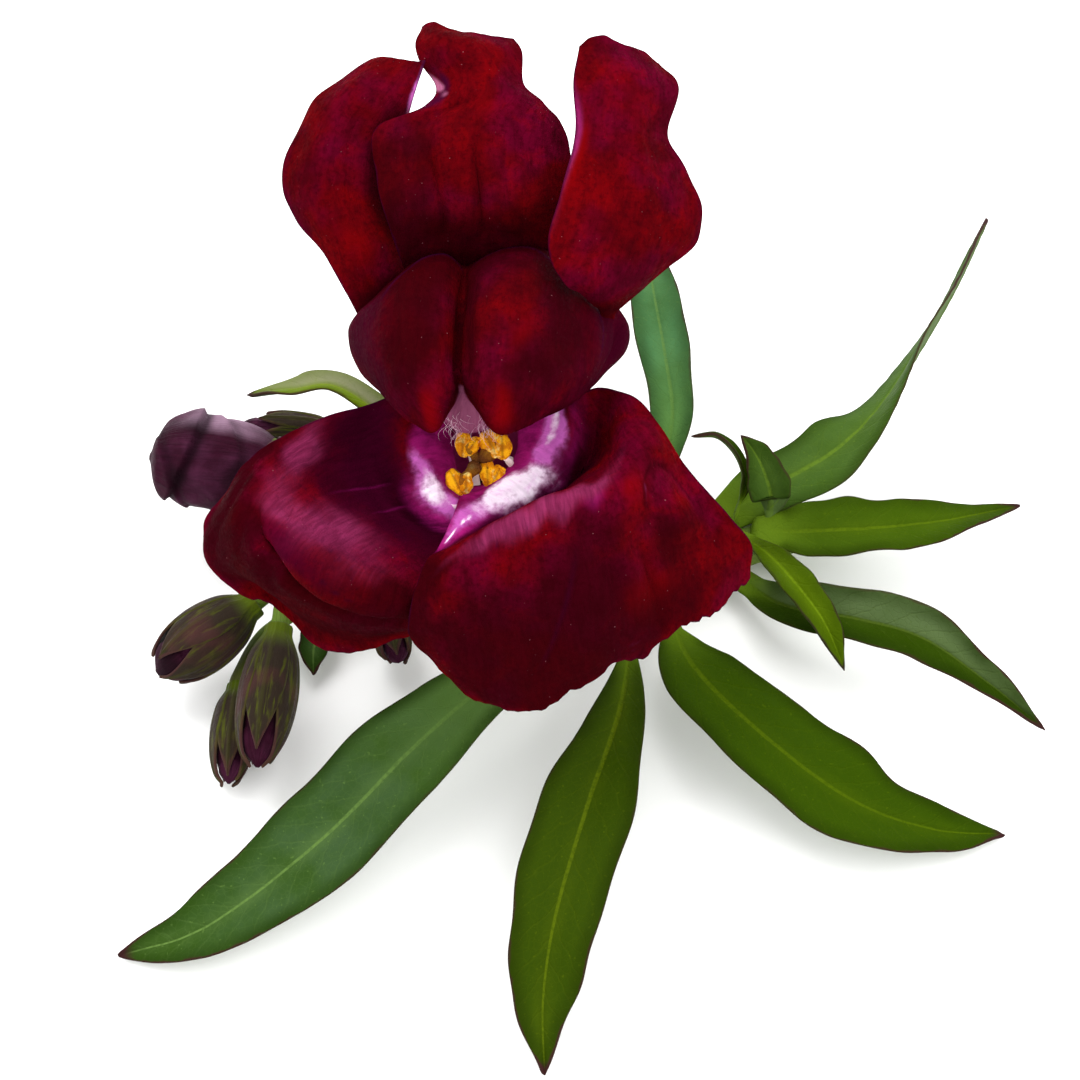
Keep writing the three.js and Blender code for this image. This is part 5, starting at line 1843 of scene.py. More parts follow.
LOWER_RIGHT = Petal(
    "petal_lower_right", seed=71, ruffle=0.22,
    rows=(
        ((7.4, 9.3, 1.6), (7.9, 9.2, 1.4), (8.3, 9.2, 1.0), (8.8, 9.3, 0.6)),
        ((5.0, 10.9, 4.4), (6.8, 10.8, 4.4), (8.9, 11.0, 3.2), (11.4, 11.4, 0.2)),
        ((4.2, 13.2, 4.2), (7.0, 13.6, 4.2), (10.2, 14.0, 2.8), (14.0, 14.0, -0.4)),
        ((5.0, 16.4, 3.8), (7.7, 16.8, 3.6), (10.6, 17.4, 2.4), (13.8, 17.0, -0.4)),
        ((5.9, 20.2, 3.4), (7.9, 20.3, 3.0), (9.9, 20.5, 2.0), (11.9, 20.4, 0.2)),
        ((5.8, 23.6, 2.6), (7.9, 23.8, 2.4), (10.2, 23.6, 1.6), (12.4, 23.6, -0.4)),
        ((6.2, 26.0, 1.0), (7.5, 26.6, 0.8), (9.3, 26.2, 0.2), (11.4, 25.3, -1.0)),
    ),
    lead=(
        ((7.3, 8.5, -0.4), (7.7, 8.3, -0.5), (8.1, 8.2, -0.7), (8.5, 8.2, -1.0)),
    ),
    bays=(Bay(Edge.TIP, 0.6, 0.6, -0.35), Bay(Edge.RIGHT, 0.85, 0.2, -0.35)),
    folds=(
        Fold((35, 20, 38, 50, 45, 85), 0.8, -0.2), Fold((70, 25, 62, 50, 60, 80), 0.9, 0.22),
        Fold((52, 30, 50, 52, 52, 74), 0.3, -0.12),
    ),
    # Bright patches are partly painted highlights, deep ones partly painted shade, and the dusty one carries
    # painted sheen.
    patches=patches(
        bright=((35, 45, 30, 20, 25), (50, 80, 30, 14, 25), (6, 60, 9, 14, 80)),
        deep=((50, 0, 100, 10, 80), (50, 45, 80, 45, 30), (75, 25, 20, 12, 30)),
        dusty=((0, 60, 7, 20, 70),),
        magenta=((0, 64, 5, 16, 90),),
        vein=((100, 50, 5, 50, 40),),
    ),
)

PALATE = Petal(
    "palate", seed=81, turned=True, swell=0.1, ruffle=0.0, frill=0.0, across_count=210, along_count=130,
        skirt=(0.1, 1.4, -5.0),
    rows=(
        ((-8.2, 8.6, -0.9), (-6.6, 10.2, 0.2), (-4.6, 12.0, 0.2), (-2.6, 12.7, 0.2), (-1.1, 12.0, -0.6),
            (0.4, 12.7, 0.2), (2.6, 13.2, 0.2), (4.8, 12.4, 0.0), (7.0, 10.0, -0.4), (8.7, 9.4, -1.4)),
        ((-8.6, 8.0, -1.2), (-7.0, 8.9, 2.2), (-5.0, 10.2, 3.8), (-2.8, 10.9, 3.4), (-1.2, 10.3, 2.6),
            (0.4, 10.9, 3.6), (2.7, 11.2, 3.8), (5.0, 10.2, 2.8), (7.2, 8.8, 1.0), (9.3, 8.2, -1.4)),
        ((-8.4, 6.6, -1.2), (-6.9, 6.6, 3.2), (-5.0, 7.2, 5.4), (-2.9, 7.6, 5.6), (-1.4, 7.2, 4.4),
            (0.2, 7.6, 5.7), (2.6, 7.6, 6.0), (5.0, 7.0, 4.6), (7.1, 6.6, 2.2), (9.2, 7.0, -1.4)),
        ((-7.6, 5.2, -1.2), (-6.3, 4.4, 3.0), (-4.8, 4.2, 5.6), (-2.9, 4.2, 6.4), (-1.4, 4.7, 5.0),
            (0.2, 4.3, 6.4), (2.3, 4.2, 6.6), (4.6, 4.2, 5.0), (6.5, 4.6, 2.4), (8.2, 5.8, -1.2)),
        ((-6.6, 4.4, -0.8), (-5.2, 2.8, 1.8), (-4.0, 1.9, 4.6), (-2.8, 1.5, 5.6), (-1.2, 4.1, 3.2),
            (0.6, 1.6, 5.6), (2.0, 1.4, 5.6), (3.9, 2.3, 3.8), (5.6, 3.4, 1.8), (6.9, 4.6, -0.6)),
        ((-5.4, 4.6, 0.2), (-4.6, 3.7, 1.0), (-3.7, 2.9, 2.4), (-2.6, 2.6, 3.2), (-1.2, 3.3, 2.0), (0.5, 2.6, 3.2),
            (1.8, 2.6, 3.0), (3.4, 3.2, 2.0), (4.6, 4.1, 1.0), (5.4, 5.0, 0.4)),
        ((-4.4, 4.6, -0.4), (-3.6, 3.9, -0.4), (-2.8, 3.1, 0.0), (-1.9, 1.9, 0.7), (-0.9, 1.6, 1.0),
            (0.3, 1.9, 0.7), (1.3, 2.8, 0.2), (2.5, 3.3, -0.2), (3.5, 4.0, -0.4), (4.3, 4.7, -0.4)),
    ),
    lead=(
        ((-8.2, 8.9, -2.4), (-6.6, 10.5, -1.5), (-4.6, 12.2, -1.7), (-2.6, 12.8, -1.7), (-1.1, 12.2, -2.0),
            (0.4, 12.8, -1.7), (2.6, 13.3, -1.7), (4.8, 12.6, -1.7), (7.0, 10.3, -1.9), (8.7, 9.7, -2.6)),
    ),
    tail=(
        ((-4.2, 4.4, -1.9), (-3.4, 3.8, -1.8), (-2.6, 3.1, -1.7), (-1.8, 2.4, -0.6), (-0.9, 2.2, -0.4),
            (0.2, 2.4, -0.6), (1.2, 2.7, -1.7), (2.3, 3.2, -1.8), (3.3, 3.9, -1.8), (4.1, 4.4, -1.9)),
        ((-4.0, 4.3, -4.6), (-3.2, 3.7, -4.6), (-2.5, 3.1, -4.6), (-1.7, 2.7, -4.6), (-0.8, 2.5, -4.6),
            (0.2, 2.6, -4.6), (1.2, 2.8, -4.6), (2.3, 3.2, -4.6), (3.2, 3.8, -4.6), (3.9, 4.3, -4.6)),
    ),
    folds=(
        Fold((20, 15, 24, 40, 27, 62), 0.6, -0.12), Fold((66, 12, 66, 40, 62, 62), 0.6, -0.12),
        Fold((44.5, 4, 44.5, 25, 44, 45, 44, 68), 0.3, -1.0, Tint.DEEP, 1.0),
        Fold((15, 16, 19, 9, 25, 3, 31, 1, 38, 2, 43, 7), 0.22, 0.1, Tint.VEIN, 1.0),
        Fold((48, 7, 53, 2, 62, 0, 70, 3, 77, 7, 84, 8, 89, 17, 90, 33, 89, 50), 0.22, 0.12, Tint.VEIN, 1.0),
        Fold((84, 12, 87, 20, 88, 33, 87, 50), 0.7, 0.3), Fold((94, 16, 94.5, 33, 93, 52), 0.4, -0.3),
    ),
    # Bright patches are painted highlights on the swellings' lower tips; deep ones are partly painted shade, as
    # down the groove.
    patches=patches(
        deep=((50, 30, 200, 70, 42), (30, 10, 12, 10, 50), (24, 36, 7, 22, 70), (31, 26, 6, 12, 50),
            (62, 10, 14, 8, 30), (50, 0, 100, 5, 90), (78, 30, 7, 30, 50), (68, 50, 5, 16, 40),
            (50, 30, 3, 25, 50)),
        plum=((8, 30, 13, 50, 80), (94, 30, 13, 50, 80), (56, 12, 6, 6, 30)),
        bright=((32, 58, 4.5, 10, 90), (36, 40, 2.2, 10, 40), (66, 36, 3.5, 8, 80), (62, 58, 5, 9, 90),
            (72, 20, 6, 8, 30), (29, 40, 2, 5, 30)),
        mauve=((44.5, 74, 3.5, 7, 120), (44.5, 84, 9, 7, 130), (45, 96, 35, 10, 130)),
        magenta=((45, 130, 60, 16, 120),),
    ),
)

PETALS = (UPPER_LEFT, UPPER_RIGHT, LOWER_LEFT, LOWER_MIDDLE, LOWER_RIGHT)


@dataclass(frozen=True)
class CorollaTube:
    """The tube below the flower's mouth. rim: the mouth's edge, from the right corner over the lower lip's
    side to the left corner and back below. sections: depth, middle x and y, half width and half height."""

    rim: tuple[Place, ...] = (
        (5.2, 3.4, -0.9), (4.6, 5.6, -1.8), (2.6, 7.2, -2.3), (-0.2, 7.6, -2.5), (-3.0, 7.0, -2.3),
        (-4.8, 5.4, -1.8), (-5.2, 3.2, -0.9), (-4.8, 0.8, -0.6), (-4.0, -1.7, -0.3), (-2.1, -3.8, 0.0),
        (1.0, -2.5, -0.2), (3.6, -1.0, -0.4), (4.9, 1.0, -0.6))
    sections: tuple[tuple[float, float, float, float, float], ...] = (
        (-15.2, 1.0, -2.8, 2.4, 2.2), (-13.6, 0.9, -1.8, 3.8, 3.4), (-11.0, 0.6, -0.4, 4.4, 4.0),
        (-7.5, 0.2, 0.8, 4.7, 4.4), (-3.5, 0.0, 1.6, 5.0, 5.2))
    middle: tuple[float, float] = (0.0, 1.8)
    rim_drop: float = 0.55
    rim_inset: float = 0.1
    wall: float = 0.5
    rib: float = 0.05
    ribs: int = 14
    depth_mm: float = 15.0
    rings: int = 60
    sides: int = 120

    def wall_rings(self, inset: float) -> Points:
        """Rings from the base to the mouth: ellipses at the sections' bearings, then the rim, made smooth.

        Args:
            inset: how far inside the outer wall they lie.

        Returns:
            Rings by sides by 3.
        """
        rim = smooth(np.array(self.rim), self.sides, closed=True)
        bearing = np.arctan2(rim[:, 1] - self.middle[1], rim[:, 0] - self.middle[0])
        around = np.stack((np.cos(bearing), np.sin(bearing)), axis=1)
        stack = [np.column_stack((np.array((x, y)) + around * np.array((wide - inset, high - inset)),
                                  np.full(self.sides, z)))
                 for z, x, y, wide, high in self.sections]
        mouth = rim - np.column_stack((around * (inset + self.rim_inset), np.full(self.sides, self.rim_drop)))
        return smooth(np.array((*stack, mouth)), self.rings)

    def shell(self) -> Shell:
        """The tube's body: up the outer wall with its low ribs, over the rim and down the inner wall.

        Returns:
            The body, with masks for its depth, its outside, its floor and its millimetres.
        """
        outer, inner = self.wall_rings(0.0), self.wall_rings(self.wall)[::-1].copy()
        inner[-1, :, 2] += self.wall
        ribs = self.rib * np.cos(self.ribs * circle(self.sides))
        outer = outer + unit(outer - outer.mean(axis=1, keepdims=True)) * ribs[:, None]
        rings = np.concatenate((outer, inner))
        depth = np.clip(-rings[..., 2] / self.depth_mm, 0.0, 1.0)
        bearing = np.arctan2(rings[..., 1] - 1.0, rings[..., 0])
        masks = {
            "depth": depth,
            "outer": ringed(np.repeat((1.0, 0.0), self.rings), self.sides),
            "floor": ease(-np.sin(bearing), 0.0, 0.8) * ease(depth, 0.5, 0.1),
            "across_mm": 5.0 * np.cos(bearing),
            "along_mm": -rings[..., 2],
        }
        return ring_shell(rings, masks).in_flower()

    def build(self) -> None:
        """Makes the tube's piece."""
        add_piece("corolla_tube_wall", self.shell(), TUBE_LINING, "corolla_tube")


@dataclass(frozen=True)
class Stamen:
    """One stamen: its filament's foot, its anther's middle, half the anther's width and its turn in degrees.
    bow: how far the filament bends off the wall. sunk: how its foot runs into the wall. meeting: the x and y
    where the anthers meet."""

    name: str
    foot: Place
    anther: Place
    size: float
    turn: float
    seed: int
    knee: Place | None = None
    filament_radius: float = 0.24
    bow: float = 0.6
    sunk: Place = (0.0, 0.3, 0.9)
    meeting: tuple[float, float] = (-0.25, -0.45)
    steps: int = 24
    sides: int = 12
    lobe_rings: int = 30
    lobe_sides: int = 36
    connective_rings: int = 12
    connective_sides: int = 16

    def filament(self) -> Shell:
        """A slender rod that bows off the wall and widens a little under the anther.

        Returns:
            The rod.
        """
        foot, top = np.array(self.foot) - np.array(self.sunk), np.array(self.anther)
        bend = 0.5 * (foot + top) + np.array((0.0, self.bow, 0.0))
        knee = () if self.knee is None else (self.knee,)
        path = smooth(np.array((foot, bend, *knee, top)), self.steps)
        share = np.linspace(0.0, 1.0, self.steps)
        radii = self.filament_radius * (1.15 - 0.3 * share + 0.25 * bell(share - 0.95, 0.08))
        return rod(from_flower(path), radii, self.sides)

    def lobe(self, hand: int) -> Shell:
        """One pollen sac, a lumpy bean: an ellipsoid with a slit along its front. The right one is smaller.

        Args:
            hand: -1 for the left sac and 1 for the right one.

        Returns:
            The sac's body.
        """
        tilt = math.radians(self.turn + 15.0 * hand)
        long_way = np.array((math.sin(tilt), math.cos(tilt), 0.12))
        wide_way = unit(np.cross(long_way, UP))
        high_way = np.cross(wide_way, unit(long_way))
        polar = np.linspace(0.10, math.pi - 0.10, self.lobe_rings)[:, None]
        angle = circle(self.lobe_sides)
        slit = bell(np.angle(np.exp(1j * (angle - 0.5 * math.pi))), 0.20) * np.sin(polar) ** 0.5
        girth = np.sin(polar) ** 0.8 * (1.0 - 0.14 * slit)
        size = self.size * (1.0 - 0.07 * hand)
        centre = np.array(self.anther) + np.array((0.36 * size * hand, -0.08 * size * hand, 0.05 * hand))
        points = (centre - (0.88 * size * np.cos(polar))[..., None] * unit(long_way)
                  + (0.58 * size * girth * np.cos(angle))[..., None] * wide_way
                  + (0.62 * size * girth * np.sin(angle))[..., None] * high_way)
        bump = 0.03 * waves(points, 0.22, self.seed + hand) + 0.13 * waves(points, 0.9, self.seed + hand + 9)
        points = points + unit(points - centre) * bump[..., None]
        return ring_shell(points[:, ::-1], {"slit": 0.55 * slit[:, ::-1]}).in_flower()

    def connective(self) -> Shell:
        """The brown tissue between the sacs: a thick short rod that leans in towards the other anthers, whose brown
        also fills the dark hollow between them as painted shade.

        Returns:
            The rod.
        """
        count = self.connective_rings
        top = np.array(self.anther) + 0.1 * UP
        inner = np.array((*self.meeting, top[2] - 0.5))
        path = top + (inner - top) * np.linspace(0.0, 0.80, count)[:, None]
        radii = self.size * (0.46 + 0.08 * np.sin(np.linspace(0.0, 7.0, count) + self.seed))
        # Brown slit colour all along it, also painted shade for the hollow between the anthers.
        return rod(from_flower(path), radii, self.connective_sides, {"slit": np.linspace(0.7, 1.0, count)})

    def build(self) -> None:
        """Makes the filament's and the anther's pieces."""
        add_piece(f"filament_{self.name}_rod", self.filament(), WHITE_TISSUE, f"filament_{self.name}")
        sacs = joined([self.lobe(-1), self.lobe(1), self.connective()])
        add_piece(f"anther_{self.name}_sacs", sacs, POLLEN, f"anther_{self.name}")


@dataclass(frozen=True)
class Pistil:
    """The ovary on the tube's floor and the style that rises from it to a small knob."""

    foot: Place = (1.0, -2.6, -13.9)
    top: Place = (0.8, -2.0, -10.9)
    radius: float = 0.95
    style: tuple[Place, ...] = (
        (0.8, -2.0, -11.1), (0.75, -1.9, -10.5), (0.3, -1.0, -7.0), (-0.1, -0.4, -4.0), (-0.2, -0.2, -2.8))
    egg_steps: int = 30
    egg_sides: int = 32
    style_steps: int = 40
    style_sides: int = 12

    def build(self) -> None:
        """Makes the ovary's piece, whose radius follows an ellipse, and the style's."""
        share = np.linspace(0.0, 1.0, self.egg_steps)
        foot, top = np.array(self.foot), np.array(self.top)
        line = foot - 0.5 * UP + (top - foot + 0.6 * UP) * share[:, None]
        egg = self.radius * np.sqrt(np.clip(1.0 - (1.9 * share - 0.9) ** 2, 0.02, 1.0))
        add_piece("ovary_egg", rod(from_flower(line), egg, self.egg_sides), OVARY_GREEN, "ovary")
        path = smooth(np.array(self.style), self.style_steps)
        share = np.linspace(0.0, 1.0, self.style_steps)
        radii = 0.17 + 0.05 * share + 0.14 * bell(share - 0.97, 0.05)
        add_piece("style_rod", rod(from_flower(path), radii, self.style_sides), WHITE_TISSUE, "style")


@dataclass(frozen=True)
class FlowerCalyx:
    """Five sepals round the tube's base, and the stalk that carries the flower. sections: depth, middle x and
    y and reach from it. half_widths: half a sepal's width at each. stalk_top: the stalk's end inside the
    calyx, in the flower's own frame."""

    sections: tuple[tuple[float, float, float, float], ...] = (
        (-16.5, 1.0, -3.0, 0.8), (-15.9, 1.0, -3.0, 1.6), (-15.3, 1.0, -2.9, 3.2), (-13.8, 0.9, -1.9, 4.5),
        (-11.8, 0.7, -0.8, 5.0), (-9.8, 0.5, 0.1, 5.4), (-8.9, 0.4, 0.5, 5.7))
    half_widths: tuple[float, ...] = (0.5, 1.05, 1.9, 2.3, 1.8, 0.7, 0.06)
    sepals: int = 5
    stalk: tuple[Place, ...] = ((-5.9, 0.7, 4.6), (-6.1, 2.9, 5.3), (-6.2, 3.5, 6.6), (-6.2, 2.8, 7.75))
    stalk_top: tuple[Place, ...] = ((1.0, -3.0, -16.3), (1.0, -2.95, -15.6), (1.0, -2.9, -14.9))
    stalk_radii: tuple[float, ...] = (1.0, 0.85, 0.95, 1.05, 1.2, 1.45, 2.3, 2.6)
    stalk_sides: int = 32
    stalk_steps: int = 60
    rows: int = 70
    columns: int = 35

    def sepal(self, number: int) -> Shell:
        """One sepal, which follows the tube, and whose tip turns outwards.

        At each section it spans the angle half width / reach either side of its bearing.

        Args:
            number: which, from 0.

        Returns:
            Its body.
        """
        bearing = TURN * number / self.sepals + 0.5 * math.pi
        s = 2.0 * eased(self.columns) - 1.0
        along = eased(self.rows)
        table = smooth_at(np.column_stack((self.sections, self.half_widths)), along * (len(self.sections) - 1))
        z, x, y, reach, half_width = table.T[..., None]
        angle = bearing + s * np.maximum(half_width, 0.05) / reach
        away = reach + 0.25 * s**2 * ease(along, 0.2, 0.9)[:, None] + 0.03 * number
        grid = np.stack((x + away * np.cos(angle), y + away * np.sin(angle), z + 0.0 * s), axis=-1)
        grid = grid + 0.06 * waves(grid, 2.0, 90 + number)[..., None]
        return sepal_shell(from_flower(grid), half=0.20, rib=0.12, reach=0.3)

    def build(self, stem: Stem) -> None:
        """Makes the sepals' pieces and the stalk's.

        Args:
            stem: the stem that the stalk grows from.
        """
        for number in range(self.sepals):
            add_piece(f"sepal_{number + 1}_blade", self.sepal(number), SEPAL_GREEN, f"sepal_{number + 1}")
        controls = (stem.root_for(np.array(self.stalk[0])), *self.stalk, *from_flower(self.stalk_top))
        body = stalk_shell(np.array(controls), self.stalk_radii, self.stalk_sides, self.stalk_steps)
        add_piece("flower_stalk_rod", body, STEM_SKIN, "flower_stalk")


@dataclass(frozen=True)
class PalateHairs:
    """The pale curly hairs under the palate's two swellings and down its groove. tufts: the middle and the
    spread, as shares across the palate, of the left and the right tuft. left_share: how many of the hairs stand
    in the left one. band: the shares along the palate between which they stand. lean: which way they are
    drawn."""

    count: int = 64
    seed: int = 7
    left_share: float = 0.4
    tufts: tuple[tuple[float, float], ...] = ((0.37, 0.03), (0.57, 0.05))
    band: tuple[float, float] = (0.86, 1.0)
    lean: Place = (0.15, -1.1, 0.5)
    coat: HairCoat = HairCoat(length=1.35, radius=0.022, curl=0.30, turns=0.9, rings=9, seed=5)

    def build(self, palate: Petal) -> None:
        """Plants the hairs on the palate's surface between the two tips.

        Args:
            palate: the cushion that they grow on.
        """
        random = np.random.default_rng(self.seed)
        across, along = palate.places()
        grid = palate.sheet(across, along)
        left = random.uniform(0.0, 1.0, self.count) < self.left_share
        tufts = [random.normal(middle, spread, self.count) for middle, spread in self.tufts]
        column = np.searchsorted(across, np.where(left, *tufts))
        row = np.searchsorted(along, random.uniform(*self.band, self.count))
        ways = np.array(self.lean) - sheet_normals(grid)[row, column]
        add_piece("palate_hairs", self.coat.shell(grid[row, column], ways).in_flower(), PALATE_HAIR)


STAMENS = (
    Stamen("upper_left", (-0.6, -2.2, -12.6), (-1.0, 0.65, -1.6), 0.82, 18.0, 201),
    Stamen("upper_right", (2.6, -2.0, -12.6), (0.9, 0.65, -1.4), 1.05, -16.0, 211, knee=(1.75, -0.5, -2.6)),
    Stamen("lower_left", (0.1, -3.7, -12.6), (-1.4, -1.8, -1.3), 0.92, -14.0, 221),
    Stamen("lower_right", (2.0, -3.5, -12.6), (0.6, -1.2, -1.8), 0.85, 12.0, 231),
)


@dataclass(frozen=True)
class OpenFlower:
    """The open flower: tube, palate with its hairs, five petals, stamens, pistil and calyx."""

    tube: CorollaTube = CorollaTube()
    palate: Petal = PALATE
    hairs: PalateHairs = PalateHairs()
    petals: tuple[Petal, ...] = PETALS
    stamens: tuple[Stamen, ...] = STAMENS
    pistil: Pistil = Pistil()
    calyx: FlowerCalyx = FlowerCalyx()

    def build(self, stem: Stem) -> None:
        """Makes every piece of the flower.

        Args:
            stem: the stem that it grows from.
        """
        self.tube.build()
        add_piece("palate_cushion", self.palate.shell(), PETAL_VELVET, "palate")
        self.hairs.build(self.palate)
        for petal in self.petals:
            add_piece(f"{petal.name}_lobe", petal.shell(), PETAL_VELVET, petal.name)
        for stamen in self.stamens:
            stamen.build()
        self.pistil.build()
        self.calyx.build(stem)


# ---- Buds ----


@dataclass(frozen=True)
class Flap:
    """The free edge of a petal that laps over the rest of a closed bud: beyond the line
    place - lean cos(angle - bearing) the surface stands higher by its height, in millimetres."""

    place: float
    lean: float
    bearing: float
    height: float


@dataclass(frozen=True)
class Bud:
    """A closed bud: where its calyx starts, its tip, its greatest radius, the share of it that the calyx covers,
    and its stalk's path. profile: shares of its length and of its radius. start_mm: where its corolla starts.
    lit_way: the side that its painted highlight is on. gap: from the corolla out to the calyx."""

    name: str
    base: Place
    tip: Place
    radius: float
    cover: float
    stalk: tuple[Place, ...]
    flaps: tuple[Flap, ...]
    seed: int
    profile: tuple[tuple[float, float], ...] = (
        (0.0, 0.42), (0.2, 0.82), (0.45, 1.0), (0.7, 0.9), (0.9, 0.55), (1.0, 0.1))
    start_mm: float = 0.75
    lit_way: Place = (0.0, 0.70, 0.714)
    gap: float = 0.12
    lobes: int = 5
    rings: int = 90
    sides: int = 72
    lobe_rows: int = 60
    lobe_columns: int = 25
    cup_rings: int = 14
    cup_sides: int = 40

    @property
    def length(self) -> float:
        """The distance from the calyx's start to the tip."""
        return float(np.linalg.norm(np.array(self.tip) - np.array(self.base)))

    def radius_at(self, share: Values) -> Values:
        """The closed corolla's radius at a share of the bud's length, by a smooth curve through its profile.

        Args:
            share: from 0 at the calyx's start to 1 at the tip.

        Returns:
            The radius, in millimetres.
        """
        start = self.start_mm / self.length
        along = np.clip((share - start) / (1.0 - start), 0.0, 1.0)
        curve = smooth(np.array(self.profile), 200)
        return self.radius * np.interp(along, curve[:, 0], curve[:, 1])

    def around(self, share: Values, angle: Values, radius: Values) -> Points:
        """Points round the bud's axis: base + share axis + radius (cos a side + sin a up).

        Args:
            share: the shares of the bud's length.
            angle: the angles round it.
            radius: the distances from its axis.

        Returns:
            A point for each.
        """
        base, tip = np.array(self.base), np.array(self.tip)
        side, up = path_frames(np.stack((base, tip)))
        out = np.cos(angle)[..., None] * side[0] + np.sin(angle)[..., None] * up[0]
        return base + share[..., None] * (tip - base) + radius[..., None] * out

    def corolla(self) -> Shell:
        """The closed corolla: the profile, a little flattened, with the laps of its folded petals.

        The radius is r(t) (1 + 0.05 cos 2a), plus each flap's height times a steep smooth step past its line,
        plus slow waves, and minus shallow furrows between the petals near the tip.

        Returns:
            The body, with masks for the painted shade under its folds, its painted highlight and its millimetres.
        """
        start = 0.6 * self.start_mm / self.length
        share = ringed(start + (1.0 - start) * eased(self.rings, 0.7), self.sides)
        angle = np.broadcast_to(circle(self.sides), share.shape)
        radius = np.maximum(self.radius_at(share), 0.03) * (1.0 + 0.05 * np.cos(2.0 * angle))
        near_tip = ease(1.0 - share, 0.0, 0.12)
        fold = np.zeros_like(radius)
        for flap in self.flaps:
            past = share - (flap.place - flap.lean * np.cos(angle - flap.bearing))
            radius = radius + flap.height * ease(past, -0.012, 0.012) * near_tip
            # Painted shade just below each flap's edge, darker for a taller flap.
            shade = min(0.85, 1.6 * flap.height)
            fold = np.maximum(fold, shade * bell(past + 0.026, 0.036) * near_tip)
        radius = radius * (1.0 - 0.05 * np.cos(2.5 * angle + 1.0) ** 8 * ease(share, 0.45, 0.9))
        points = self.around(share, angle, radius)
        lift = 0.03 * self.radius * waves(points, 2.2, self.seed)
        points = points + unit(points - points.mean(axis=1, keepdims=True)) * lift[..., None]
        # Painted highlight on the side that faces lit_way, about halfway along.
        lit = unit(points - points.mean(axis=1, keepdims=True)) @ np.array(self.lit_way)
        masks = {
            "fold": fold,
            "across_mm": self.radius * 2.0 * np.cos(angle),
            "along_mm": share * self.length,
            "haze": ease(lit, 0.72, 0.95) * bell(share - 0.48, 0.22),
        }
        return ring_shell(points, masks)

    def calyx(self) -> Shell:
        """The calyx: a small cup, and pointed lobes that lap each other round the bud.

        A lobe at a share t of the calyx spans a half angle that widens at once and narrows to its tip, stands
        the gap and its own turn in the lap outside the corolla, and is lifted by s^2 at its margins.

        Returns:
            The body, of the cup and each lobe.
        """
        shells = [self.cup()]
        s = 2.0 * eased(self.lobe_columns) - 1.0
        t = eased(self.lobe_rows)[:, None]
        half_angle = 0.86 * np.clip(np.sin(math.pi * (0.30 + 0.70 * t)) ** 0.75, 0.01, 1.0)
        for number in range(self.lobes):
            bearing = TURN * (number + 0.3) / self.lobes
            reach = self.cover * (1.08 + 0.06 * math.sin(2.4 * number + self.seed))
            share = t * reach * np.ones_like(s)
            lap = 0.10 + 0.06 * (number % 3)
            radius = self.radius_at(share) + self.gap + lap * ease(t, 0.0, 0.25) + 0.05 * s**2
            grid = self.around(share, bearing + s * half_angle, radius)
            shells.append(sepal_shell(grid, half=0.12, rib=0.10, reach=0.2, tipward=share / self.cover))
        return joined(shells)

    def cup(self) -> Shell:
        """The solid foot of the calyx, a shallow bowl that the stalk runs into.

        Returns:
            The body.
        """
        share = ringed(np.linspace(-0.02, 0.16, self.cup_rings), self.cup_sides)
        angle = np.broadcast_to(circle(self.cup_sides), share.shape)
        rise = 0.35 + 0.65 * feather(np.linspace(0.0, 1.0, self.cup_rings)[:, None], 0.5)
        radius = (self.radius_at(np.maximum(share, 0.02)) + self.gap) * rise
        masks = {
            "across_mm": 3.0 * np.cos(angle),
            "along_mm": share * self.length,
            "margin_mm": np.full_like(share, NO_MARGIN),
        }
        return ring_shell(self.around(share, angle, radius), masks)

    def build(self, stem: Stem) -> None:
        """Makes the bud's three pieces.

        Args:
            stem: the stem that its stalk grows from.
        """
        add_piece(f"{self.name}_petals", self.corolla(), BUD_PETALS, f"{self.name}_corolla")
        add_piece(f"{self.name}_sepals", self.calyx(), CALYX_DUSK, f"{self.name}_calyx")
        base, tip = np.array(self.base), np.array(self.tip)
        controls = (stem.root_for(np.array(self.stalk[0])), *self.stalk, base + 0.04 * (tip - base))
        radii = (0.62, *np.linspace(0.5, 0.6, len(self.stalk)), 0.7)
        add_piece(f"{self.name}_stalk_rod", stalk_shell(np.array(controls), radii), STEM_SKIN,
                  f"{self.name}_stalk")


